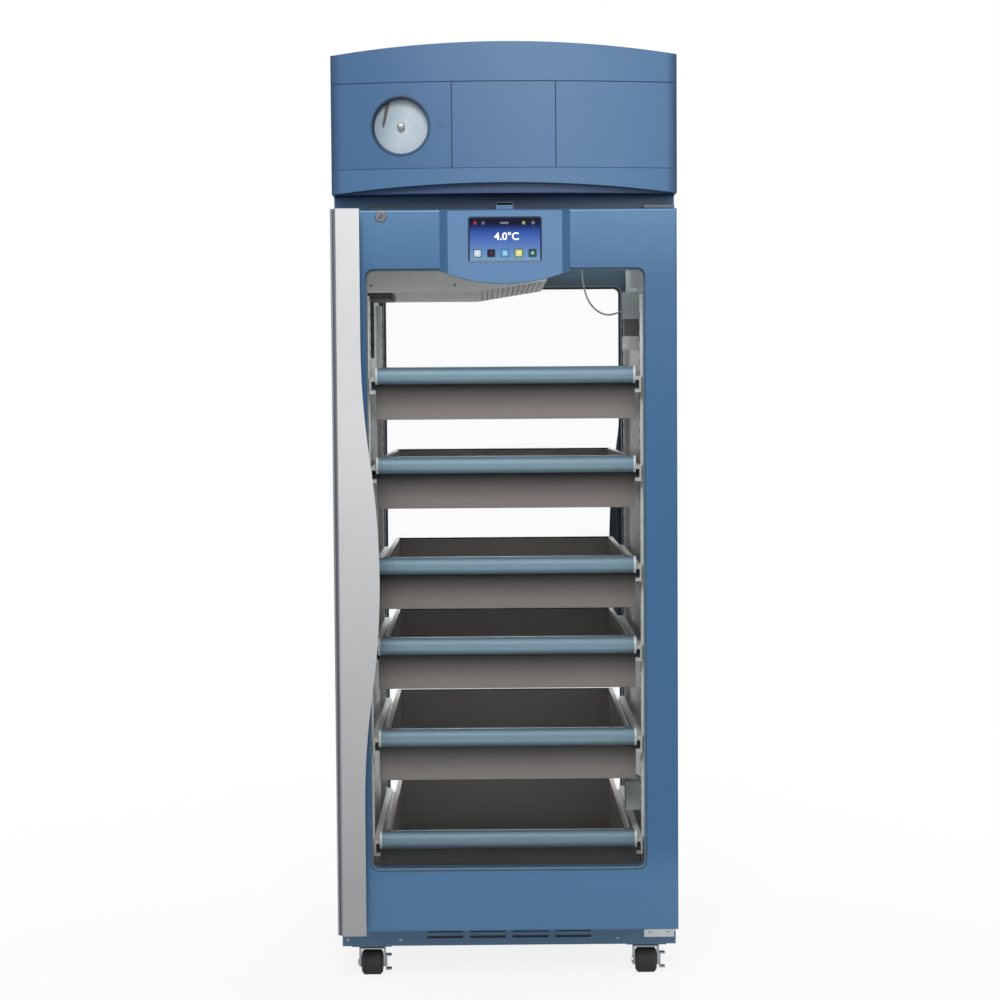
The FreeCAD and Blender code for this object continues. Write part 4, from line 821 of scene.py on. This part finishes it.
def make_slot_tree():
    """A flat piece with round ends: a slot, a louvre or, when as wide as high, a round hole."""
    t = Repeat("slots", Width=0.004, Height=0.014, Depth=0.0004)
    width, height = t.given("Width"), t.given("Height")
    narrow = width.math("MINIMUM", height)
    disc = t.node("GeometryNodeMeshCylinder", {}, {"Vertices": 14, "Radius": narrow * 0.5,
                                                   "Depth": t.given("Depth")})
    across, up, _ = t.split(t.node("GeometryNodeInputPosition"))
    spread = t.vector(across.math("SIGN") * ((width - narrow) * 0.5),
                      up.math("SIGN") * ((height - narrow) * 0.5), 0.0)
    return t.close(t.node("GeometryNodeSetPosition", {}, {"Geometry": disc, "Offset": spread}))


SCREWS, NUTS, SLOTS = make_screw_tree(), make_nut_tree(), make_slot_tree()
SMALL_SCREW, HINGE_SCREW, PANEL_SCREW = (0.0036, 0.0014), (0.0046, 0.0018), (0.0048, 0.0019)


def drive_screws(name, points, facing, size=SMALL_SCREW, finish="screw_steel"):
    """Zinc-plated screws on the cabinet; size is a head's radius and height."""
    SCREWS.grow(name, points, "cabinet", "zinc_steel", facing, finish, Radius=size[0], Height=size[1])


# %% [markdown]
# ## The header
# The header is one bowed moulding, so a short function of x gives the depth of anything that sits on its front.
# The recorder's window gets a moulded ring that runs back to the chart, and the chart a fluted knob. The shade in
# the gaps between the panels is painted on thin dark pipes a millimetre under the front, because a line that is
# only painted on the surface would vanish from the side.

# %% Recorder window and chart knob
WINDOW_RADIUS, WINDOW_BACK = 0.061, -0.4214
KNOB_FLUTES, FLUTE_DEPTH = 18, 0.0003


def bow(x):
    return BOW_FRONT + BOW_RADIUS - sqrt(BOW_RADIUS ** 2 - x * x)


def make_window_ring():
    section = [(0.0024, 0.0002), (0.0021, -0.0007), (0.0009, -0.0013), (-0.0004, -0.0011), (-0.0012, -0.0001),
               (-0.0044, None), (-0.0024, None), (-0.0003, 0.0070), (-0.0003, 0.0002)]
    loops = []
    for grow, depth in section:
        line = circle(WINDOW_RADIUS + grow, CHART_CENTRE, 96)
        loops.append([(x, WINDOW_BACK if depth is None else bow(x) + depth, z) for x, z in line])
    Shape().loft(loops, ring=True).finish("chart_window_ring", "recorder_door", "blue_plastic", "shaded_blue")


def make_chart_knob():
    loops = []
    for radius, depth in ((0.0078, -0.4202), (0.0078, -0.4246), (0.0064, -0.4258), (0.0030, -0.4262)):
        wave = [radius + FLUTE_DEPTH * (-1) ** i for i in range(KNOB_FLUTES * 2)]
        loops.append([(CHART_CENTRE[0] + r * cos(pi * i / KNOB_FLUTES), depth,
                       CHART_CENTRE[1] + r * sin(pi * i / KNOB_FLUTES)) for i, r in enumerate(wave)])
    Shape().loft(loops).finish("chart_hub_knob", "chart_disc", "brass", "chart_knob")


# %% Panel seals, pen and pull
SEAM_ACROSS, SEAM_UP, SEAM_UNDER = (-0.3642, -0.111, 0.109, 0.3642), (1.7655, 1.9475), 0.0012
SEAM_STEPS = 48
PEN_PIVOT, PEN_TIP = Vector((-0.240, -0.419, 1.938)), Vector((-0.2575, -0.419, 1.855))
PEN_HALF_THICK = 0.0006
PULL_START, PULL_PITCH = -0.1418, 0.0064


# Dark pipes that stand for the shade inside the gaps between the header's panels.
def make_header_gap_shade():
    seams = Shape()
    across = [SEAM_ACROSS[-1] * (2 * i / SEAM_STEPS - 1) for i in range(SEAM_STEPS + 1)]
    for z in SEAM_UP:
        seams.pipe([(x, bow(x) + SEAM_UNDER, z) for x in across], 0.0011, sides=1)
    for x in SEAM_ACROSS:
        seams.pipe([(x, bow(x) + SEAM_UNDER, z) for z in SEAM_UP], 0.0012, sides=1)
    seams.finish("header_gap_shade_strips", "cabinet", "gasket_rubber", "seam_rubber")


def make_pen():
    """A flat leaf that narrows to a felt nib, on a round boss."""
    along = (PEN_TIP - PEN_PIVOT).normalized()
    across = Vector((along.z, 0, -along.x))
    length = (PEN_TIP - PEN_PIVOT).length
    halves = [(0.0, 0.0042), (0.2, 0.0038), (0.75, 0.0030), (0.9, 0.0026), (0.97, 0.0014), (1.0, 0.0006)]
    line = [PEN_PIVOT + along * length * part + across * half for part, half in halves]
    line += [PEN_PIVOT + along * length * part - across * half for part, half in halves[::-1]]
    leaf = Shape()
    leaf.loft([[point + Vector((0, depth, 0)) for point in line] for depth in (-PEN_HALF_THICK, PEN_HALF_THICK)])
    leaf.steps(lambda grow: circle(0.0050 + grow, (PEN_PIVOT.x, PEN_PIVOT.z), 28),
               [(-0.0006, -0.4202), (0, -0.4198), (0, -0.4178)])
    pen = leaf.finish("recorder_pen", "pen_arm", "brass", "pen_brass")
    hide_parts("pen_arm")


make_window_ring()
make_header_gap_shade()
make_chart_knob()
make_pen()
pull_marks = [(x, bow(x) - 0.0001, 1.859) for x in (PULL_START + PULL_PITCH * i for i in range(4))]
SLOTS.grow("recorder_door_pull_ridges", pull_marks, "recorder_door", "blue_plastic", "front",
           Width=0.0022, Height=0.015, Depth=0.0014)

# %% [markdown]
# ## The display and the lock
# A thin dark frame closes the gap around the screen. The reading is a text object turned into a
# mesh, a fifth of a millimetre proud of the glass, so that its edge stays crisp at any distance.
# A pale block caps the hook over the display. The lock gets a stepped bezel around its turning
# head, and its keyway rides on the head, so that it turns with the key.

# %% Display and locks
SCREEN_FRAME_WIDTH = 0.0022
FRAME_FRONT, FRAME_BACK = -0.4456, -0.4441
READING_HEIGHT, READING_WIDTH = 0.0222, 0.0525
READING_PLACE = (0.0035, 1.6218)
LOCK_PLACE = (-0.2645, 1.667)
KEYWAY_FRONT, KEYWAY_TURN = -0.4161, radians(40)


def make_screen_frame():
    half = ((SCREEN_HIGH.x - SCREEN_LOW.x) / 2, (SCREEN_HIGH.z - SCREEN_LOW.z) / 2)
    section = [(SCREEN_FRAME_WIDTH, -0.4449), (SCREEN_FRAME_WIDTH - 0.0004, FRAME_FRONT), (0.0006, FRAME_FRONT),
               (-0.0012, -0.4445), (-0.0012, FRAME_BACK), (SCREEN_FRAME_WIDTH, FRAME_BACK)]
    frame_ring = Shape().steps(lambda grow: rounded(*half, 0.004, (0, SCREEN_CENTRE.z), grow), section, ring=True)
    frame_ring.finish("display_screen_frame", "front_door", "blue_grey_plastic", "screen_frame")


def make_reading():
    text = bpy.data.curves.new("reading", "FONT")
    text.body = "4.0°C"
    text.size = READING_HEIGHT
    text.extrude = 0.0001
    text.offset = 0.0003
    text.resolution_u = 6
    mesh = take_mesh(add_object("reading", text))
    low = [min(v.co[axis] for v in mesh.vertices) for axis in range(2)]
    high = [max(v.co[axis] for v in mesh.vertices) for axis in range(2)]
    stretch = READING_WIDTH / (high[0] - low[0])
    for v in mesh.vertices:
        v.co = ((v.co.x - (low[0] + high[0]) / 2) * stretch + READING_PLACE[0], SCREEN_LOW.y - 0.0002 - v.co.z,
                v.co.y - (low[1] + high[1]) / 2 + READING_PLACE[1])
    bm = bmesh.new()
    bm.from_mesh(mesh)
    bmesh.ops.remove_doubles(bm, verts=bm.verts, dist=1e-6)
    bmesh.ops.recalc_face_normals(bm, faces=bm.faces)
    bm.to_mesh(mesh)
    bm.free()
    keep("display_reading", mesh, "front_door", "screen_glass", "screen_white")


def make_hook_cap():
    cap = Shape().block((-0.0178, -0.4070, 1.6906), (0.0178, -0.3854, 1.6966), 0.0004, "z")
    cap.finish("display_hook_cap", "front_door", "blue_grey_plastic", "cap_plastic")


def make_lock_bezel(side, turned):
    section = [(0.0018, -0.4129), (0.0016, -0.4139), (0.0004, -0.4146), (0.0001, -0.4146), (0.0001, -0.4129)]
    bezel = Shape().steps(lambda grow: circle(0.0112 + grow, LOCK_PLACE, 40), section, ring=True)
    bezel.finish(f"{side}_lock_bezel", f"{side}_door", "chrome", turned=turned)
    keyway = on_side([(LOCK_PLACE[0], KEYWAY_FRONT, LOCK_PLACE[1])], turned)
    turn = (pi / 2, KEYWAY_TURN, pi if turned else 0)
    SLOTS.grow(f"{side}_keyway", keyway, f"{side}_lock", "dark_plastic", turn,
               Width=0.0024, Height=0.0120, Depth=0.0004)


make_screen_frame()
make_reading()
make_hook_cap()
for side, turned in SIDES:
    make_lock_bezel(side, turned)

# %% [markdown]
# ## Door trim
# Each window sits behind a thin grey bead that hides the edge of the glass unit. The handle is one
# full-height plate: a dark seam runs down its bevelled edge, where its two folded sheets meet.
# The bead is lofted in a ring, so that it has no seam of its own, and the seam is a slim pipe.

# %% Window beads and handle seams
WINDOW_HALF, WINDOW_FOOT, WINDOW_TOP, WINDOW_CORNER = 0.300, 0.252, 1.556, 0.018
GLASS_FRONT = -0.3988
SEAM_PLACE, SEAM_FOOT, SEAM_HEAD = (-0.3662, -0.4402), 0.1215, 1.6805


def make_door_trim(side, turned):
    middle = (0, (WINDOW_FOOT + WINDOW_TOP) / 2)
    half = (WINDOW_HALF, (WINDOW_TOP - WINDOW_FOOT) / 2)
    section = [(-0.0002, GLASS_FRONT - 0.0001), (-0.0002, -0.4026), (-0.0012, -0.4034), (-0.0030, -0.4020),
               (-0.0046, GLASS_FRONT - 0.0001)]
    bead = Shape().steps(lambda grow: rounded(*half, WINDOW_CORNER, middle, grow), section, ring=True)
    bead.finish(f"{side}_window_bead", f"{side}_door", "gasket_rubber", "bead_grey", turned)
    seam = Shape().pipe([(*SEAM_PLACE, z) for z in (SEAM_FOOT, SEAM_HEAD)], 0.0011)
    seam.finish(f"{side}_handle_seam", f"{side}_door", "gasket_rubber", "bead_rubber", turned)


for side, turned in SIDES:
    make_door_trim(side, turned)

# %% [markdown]
# ## Drawers
# A drawer is a folded steel bin with a rolled rim, and a rounded aluminium grip closed at each end
# by a pale plastic cap. The caps follow the grip's own section, an arc of 24 mm radius, and stand
# a fraction of a millimetre proud of it. The rim is a pipe around the bin's top edge. All six
# drawers are alike, so one function makes them.

# %% Drawer rims and grip caps
GRIP_RADIUS, GRIP_CENTRE_Y, GRIP_HALF_HEIGHT, GRIP_BACK = 0.024, -0.306, 0.018, -0.3032
GRIP_END, CAP_WIDTH, CAP_PROUD = 0.2845, 0.0046, 0.0004
RIM_LINE = rounded(0.2692, 0.2945, 0.012, (0, -0.0068))
RIM_RADIUS, RIM_DROP = 0.0019, 0.0004


def grip_line(top, grow):
    reach, half = GRIP_RADIUS + grow, GRIP_HALF_HEIGHT + grow
    limit = asin(half / reach)
    middle = top - GRIP_HALF_HEIGHT
    line = [(GRIP_CENTRE_Y - reach * cos(limit * (i / 8 - 1)), middle + reach * sin(limit * (i / 8 - 1)))
            for i in range(17)]
    return line + [(GRIP_BACK, top + grow), (GRIP_BACK, middle - half)]


def make_drawer(number):
    body = f"drawer_{number}"
    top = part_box(f"{body}_bin")[1].z
    rim = Shape().pipe([(x, y, top - RIM_DROP) for x, y in RIM_LINE], RIM_RADIUS, closed=True)
    rim.finish(f"{body}_rolled_rim", body, "bright_steel", "rim_steel")
    caps = Shape()
    ends = [(CAP_PROUD, GRIP_END - CAP_WIDTH), (CAP_PROUD, GRIP_END + 0.0001),
            (CAP_PROUD - 0.0006, GRIP_END + 0.0006)]
    for side in (-1, 1):
        caps.loft([[(side * x, y, z) for y, z in grip_line(top, grow)] for grow, x in ends])
    caps.finish(f"{body}_grip_caps", body, "grey_plastic", "cap_plastic")


for number in range(1, 7):
    make_drawer(number)

# %% [markdown]
# ## Uprights and slides
# The four uprights are punched with rows of slots, an inch apart, into which the slide rails
# hook. Cutting hundreds of slots would be slow and would make a heavy mesh, so Geometry Nodes
# put a dark flat piece with round ends on each place. At the front, each rail ends in a small
# bright hook plate with a screw.

# %% Upright slots
UPRIGHT_INNER, UPRIGHT_MIDDLE, SLOT_SHIFT = 0.299, 0.260, 0.005
SLOT_START, SLOT_LIMIT, SLOT_PITCH = 0.214, 1.506, 0.0254
SLOT_COUNT = int((SLOT_LIMIT - SLOT_START) / SLOT_PITCH)

for side, wall, facing in ((-1, "left", "right"), (1, "right", "left")):
    slots = [(side * UPRIGHT_INNER, end * UPRIGHT_MIDDLE + shift, SLOT_START + SLOT_PITCH * i)
             for end in (-1, 1) for shift in (-SLOT_SHIFT, SLOT_SHIFT) for i in range(SLOT_COUNT)]
    SLOTS.grow(f"upright_slots_{wall}", slots, "cabinet", "dark_plastic", facing,
               Width=0.0035, Height=0.0140, Depth=0.0004)

# %% Slide hooks
RAIL_LIFT, RAIL_HEIGHT = 0.057, 0.036
HOOK_FRONT, HOOK_BACK, HOOK_INNER, HOOK_OUTER = -0.2985, -0.2712, 0.2990, 0.3102


def make_slide_hooks():
    plates, screws = Shape(), []
    for number in range(1, 7):
        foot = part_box(f"drawer_{number}_bin")[0].z + RAIL_LIFT
        for side in (-1, 1):
            near, far = sorted((side * HOOK_INNER, side * HOOK_OUTER))
            plates.block((near, HOOK_FRONT, foot + 0.002), (far, HOOK_BACK, foot + RAIL_HEIGHT - 0.002), 0.0006)
            screws.append((side * 0.3045, HOOK_FRONT, foot + RAIL_HEIGHT / 2))
    plates.finish("slide_hook_plates", "cabinet", "zinc_steel", "hook_steel")
    drive_screws("slide_hook_screws", screws, "front", (0.0032, 0.0012))


make_slide_hooks()

# %% [markdown]
# ## Under the ceiling
# The evaporator's cover slopes up to the right, and its slope is perforated so that air falls
# through. A grid of points along that slope carries small dark discs, each turned to lie on it,
# because real holes would need hundreds of cuts. A pale screw holds the slope, steel ones the
# front and the floor, and a drain trough with its pipe hangs at the cover's left end.

# %% Evaporator detail
SLOPE_START, SLOPE_END = Vector((-0.061, 0, 1.514)), Vector((0.095, 0, 1.539))
SLOPE_SCREW = (0.0014, -0.080, 1.5238)
HOLE_PITCH, HOLE_SIZE, HOLE_ROWS, FIRST_ROW = 0.0120, 0.0034, 38, -0.229
PIPE_X, PIPE_Y = -0.3030, -0.088


def make_evaporator_detail():
    slope = SLOPE_END - SLOPE_START
    along = slope.normalized()
    points = []
    for column in range(1, int(slope.length / HOLE_PITCH)):
        for row in range(HOLE_ROWS):
            shift = HOLE_PITCH / 2 if column % 2 else 0
            across = Vector((0, FIRST_ROW + HOLE_PITCH * row + shift, 0))
            points.append(SLOPE_START + along * HOLE_PITCH * column + across)
    tilt = (pi, -asin(along.z), 0)
    SLOTS.grow("evaporator_perforations", points, "cabinet", "dark_plastic", tilt, "hub_plastic",
               Width=HOLE_SIZE, Height=HOLE_SIZE, Depth=0.0004)
    drive_screws("evaporator_slope_screw", [SLOPE_SCREW], tilt, (0.0045, 0.0016), "cap_plastic")
    corners = [(x, -0.240, z) for x in (-0.296, -0.110, 0.078) for z in (1.530 + 0.014 * (x > 0), 1.626)]
    drive_screws("evaporator_cover_screws", corners, "front")
    below = [(0.060, y, 1.5335) for y in (-0.2, 0.2)] + [(-0.285, y, 1.514) for y in (0.1, 0.2)]
    drive_screws("evaporator_floor_screws", below, "down", (0.0036, 0.0016))


def make_drain():
    trough = Shape().block((-0.3095, -0.236, 1.5005), (-0.2500, -0.060, 1.5138), 0.0025, "z")
    trough.finish("drain_trough", "cabinet", "dark_plastic")
    pipe = Shape().pipe([(PIPE_X, PIPE_Y, z) for z in (1.5015, 1.372)], 0.0042, sides=4)
    for z in (1.400, 1.470):
        pipe.block((-0.3112, -0.0945, z), (-0.2985, -0.0815, z + 0.006), 0.0008, "z")
    pipe.finish("drain_pipe", "cabinet", "dark_plastic")


make_evaporator_detail()
make_drain()

# %% [markdown]
# ## Probe bottles
# The two bottles stand in for blood bags, so that the probes in them feel the bags' temperature.
# Each hangs in a holder by the right wall. Their round caps and the wall plug are stepped circles,
# and the upper holder gets a bracket with two screws.

# %% Bottle caps and brackets
BOTTLE_PLACE, CAP_RADIUS = (0.2885, -0.2), 0.0125
BRACKET_FRONT = -0.2244


def make_bottle_detail():
    caps = Shape()
    for top in (1.513, 0.410):
        caps.steps(lambda grow: circle(CAP_RADIUS + grow, BOTTLE_PLACE, 36),
                   [(0, top), (0, top + 0.007), (-0.0012, top + 0.0085), (-0.006, top + 0.0088)], "z")
    caps.finish("probe_bottle_caps", "cabinet", "grey_plastic", "cap_plastic")
    bracket = Shape().block((0.2628, BRACKET_FRONT, 1.3835), (0.3108, -0.2224, 1.4144), 0.0006)
    bracket.finish("probe_holder_bracket", "cabinet", "zinc_steel", "hook_steel")
    drive_screws("probe_holder_screws", [(x, BRACKET_FRONT, 1.3912) for x in (0.2680, 0.3030)], "front",
                 (0.0034, 0.0014), "cap_plastic")
    plug = Shape().steps(lambda grow: circle(0.0075 + grow, (-0.225, 0.240), 32),
                         [(0, 0.3108), (0, 0.3040), (-0.0012, 0.3028), (-0.005, 0.3026)], "x")
    plug.finish("wall_plug", "cabinet", "grey_plastic", "cap_plastic")


make_bottle_detail()

# %% [markdown]
# ## Base and castors
# Through the base strip's slots one sees the shade inside the base, so a thin dark plate stands behind each row:
# a baffle, dark to stand for that shade.
# The strips and the lower hinges are screwed on. The castors get hub discs on their wheels, which
# turn with them, and a nut on each axle, which stays with the fork.

# %% Vent backing, hubs and nuts
STRIP_SCREWS = [(x, -0.3430, 0.084) for x in (-0.356, -0.240, 0.240)]
HINGE_SCREWS = [(x, -0.3460, 0.0985) for x in (0.3115, 0.3515)]
CASTOR_X, AXLE_Y, AXLE_Z = 0.304, 0.317, 0.028
HUB_RADIUS, HUB_SECTION = 0.0165, ((0, 0.0226), (-0.0006, 0.0238), (-0.006, 0.0244), (-0.0115, 0.0246))


def make_base_detail():
    for side, turned in SIDES:
        # A dark baffle behind the slots, standing for the shade inside the base.
        plate = Shape().block((-0.196, -0.3396, 0.0765), (0.196, -0.3380, 0.1105), 0.0004)
        plate.finish(f"{side}_vent_shade_plate", "cabinet", "dark_plastic", turned=turned)
    for kind, places, size in (("strip", STRIP_SCREWS, SMALL_SCREW), ("hinge", HINGE_SCREWS, HINGE_SCREW)):
        for side, turned in SIDES:
            drive_screws(f"{side}_{kind}_screws", on_side(places, turned), side, size)


def make_castor_detail(corner, x, y):
    hubs = Shape()
    for way in (-1, 1):
        hubs.steps(lambda grow: circle(HUB_RADIUS + grow, (y, AXLE_Z), 36),
                   [(grow, x + way * reach) for grow, reach in HUB_SECTION], "x")
    hubs.finish(f"{corner}_wheel_hubs", f"{corner}_wheel", "castor_rubber", "hub_plastic")
    NUTS.grow(f"{corner}_axle_nut", [(x - 0.029, y, AXLE_Z)], f"{corner}_castor", "zinc_steel", "left",
              Radius=0.0062, Height=0.0032)


make_base_detail()
for end, y in (("front", -AXLE_Y), ("rear", AXLE_Y)):
    for side, x in (("left", -CASTOR_X), ("right", CASTOR_X)):
        make_castor_detail(f"{end}_{side}", x, y)

# %% [markdown]
# ## Cabinet panels
# The sides, the roof and the back of the header are sheet panels on hidden frames. Screws follow
# their edges, a dark seam marks where the header's housing meets the cabinet, and the rear of the
# header has two fields of louvres for the compressor's air.

# %% Panel screws and seams
SIDE_X = 0.3685
LOUVRE_ROWS, LOUVRE_PITCH, LOUVRE_FOOT = 7, 0.014, 1.812


def make_side_detail(side, label):
    points = [(side * SIDE_X, y, z) for y in (-0.31, -0.155, 0, 0.155, 0.31) for z in (1.732, 1.985)]
    points += [(side * SIDE_X, y, z) for y in (-0.325, 0.325) for z in (0.16, 0.55, 0.94, 1.33, 1.68)]
    drive_screws(f"{label}_side_screws", points, label, PANEL_SCREW)
    near, far = sorted((side * (SIDE_X - 0.0004), side * (SIDE_X + 0.0003)))
    seam = Shape().block((near, -0.3428, 1.7112), (far, 0.3428, 1.7128), 0.0001, "x")
    seam.finish(f"{label}_side_seam", "cabinet", "gasket_rubber", "bead_rubber")


def make_roof_and_rear_detail():
    roof = [(x, y, 2.007) for x in (-0.345, -0.115, 0.115, 0.345) for y in (-0.32, 0.32)]
    drive_screws("roof_screws", roof, "up", PANEL_SCREW)
    louvres = [(x, -bow(x) + 0.0002, LOUVRE_FOOT + LOUVRE_PITCH * row) for row in range(LOUVRE_ROWS)
               for x in (-0.25, -0.18, -0.11, 0.11, 0.18, 0.25)]
    SLOTS.grow("rear_louvres", louvres, "cabinet", "dark_plastic", "rear", "vent_dark",
               Width=0.058, Height=0.0045, Depth=0.0012)
    rear = [(x, -bow(x), z) for x in (-0.34, -0.14, 0.14, 0.34) for z in (1.780, 1.935)]
    drive_screws("rear_header_screws", rear, "rear", PANEL_SCREW)


make_side_detail(-1, "left")
make_side_detail(1, "right")
make_roof_and_rear_detail()

# %% [markdown]
# ## Studio
# The photograph is cut out on white. The world is white for camera rays and for rays that pass
# through glass, which gives that background without adding light. Glossy rays see it grey at the
# horizon and near white overhead, so that the metal keeps some depth. The floor works alike: it
# glows nearly white around the castors, where its paint lets a soft shadow through, and wholly
# white further off, so that no horizon cuts the picture. One broad lamp high in front makes the
# top brighter than the foot, as in the photograph; the others only lift the front, the sides and
# the back.

# %% World and floor
WORLD_LIGHT = 0.22
FLOOR_HALF, FLOOR_GLOSS = 30, 0.3
SHADOW_REACH, SHADOW_FADE, SHADOW_SHARE = 0.7, 1.8, 0.14


def seen_white(network, gloss):
    """How much of the white background a ray sees."""
    names = ("Is Camera Ray", "Is Glossy Ray", "Is Transmission Ray")
    camera, glossy, through = network.wires("ShaderNodeLightPath", names)
    return camera.math("MAXIMUM", glossy * gloss).math("MAXIMUM", through)


def make_world():
    world = bpy.data.worlds.new("studio")
    bpy.context.scene.world = world
    world.use_nodes = True
    sky = Network(world.node_tree)
    sky.tree.nodes.clear()
    output = sky.tree.nodes.new("ShaderNodeOutputWorld")
    _, _, rise = sky.split(sky.node("ShaderNodeTexCoord", output="Generated"))
    gloss = rise.above(0.05, 0.7) * 0.7 + 0.25
    soft = sky.node("ShaderNodeBackground", {}, ((0.94, 0.97, 1, 1), WORLD_LIGHT))
    white = sky.node("ShaderNodeBackground", {}, ((1, 1, 1, 1), 1.0))
    both = sky.node("ShaderNodeMixShader", {}, (seen_white(sky, gloss), soft, white))
    sky.tree.links.new(both.socket, output.inputs["Surface"])


def make_floor():
    mesh = bpy.data.meshes.new("floor")
    corners = [(side * FLOOR_HALF, end * FLOOR_HALF, 0) for side, end in ((-1, -1), (1, -1), (1, 1), (-1, 1))]
    mesh.from_pydata(corners, [], [(0, 1, 2, 3)])
    floor = add_object("floor", mesh)
    f = Finish("floor_white")
    x, y, _ = f.axes()
    far = ((x.reach(y) - SHADOW_REACH) / SHADOW_FADE).clamped()
    paint = f.node("ShaderNodeBsdfDiffuse", {}, {"Color": (0.82, 0.82, 0.82)})
    glow = f.node("ShaderNodeEmission", {}, {"Color": (1, 1, 1), "Strength": 1.0})
    share = seen_white(f, FLOOR_GLOSS) * (far * SHADOW_SHARE + (1 - SHADOW_SHARE))
    f.show(f.node("ShaderNodeMixShader", {}, (share, paint, glow)))
    mesh.materials.append(f.material)


make_world()
make_floor()

# %% Lamps
# Each lamp has its place, its aim, its width and height, and its power in watts.
LAMPS = {
    "key_high": ((-0.3, -5.2, 4.9), (0, -0.4, 1.25), (2.8, 2.2), 270),
    "front_soft": ((0.8, -4.0, 2.3), (0, -0.4, 1.5), (1.8, 0.9), 12),
    "side_left": ((-3.4, 1.9, 2.0), (0, 0.1, 1.1), (1.8, 2.2), 55),
    "side_right": ((3.4, 1.9, 2.0), (0, 0.1, 1.1), (1.8, 2.2), 50),
    "back": ((0.6, 3.6, 3.2), (0, 0.4, 1.2), (2.4, 1.8), 84),
}

for name, (place, aim, span, power) in LAMPS.items():
    data = bpy.data.lights.new(name, "AREA")
    data.shape = "RECTANGLE"
    data.size, data.size_y = span
    data.energy = power
    lamp = add_object(name, data)
    lamp.location = place
    lamp.rotation_euler = (Vector(aim) - Vector(place)).to_track_quat("-Z", "Y").to_euler()
bpy.context.scene.view_settings.view_transform = "Standard"
print(len(LAMPS), "lamps")
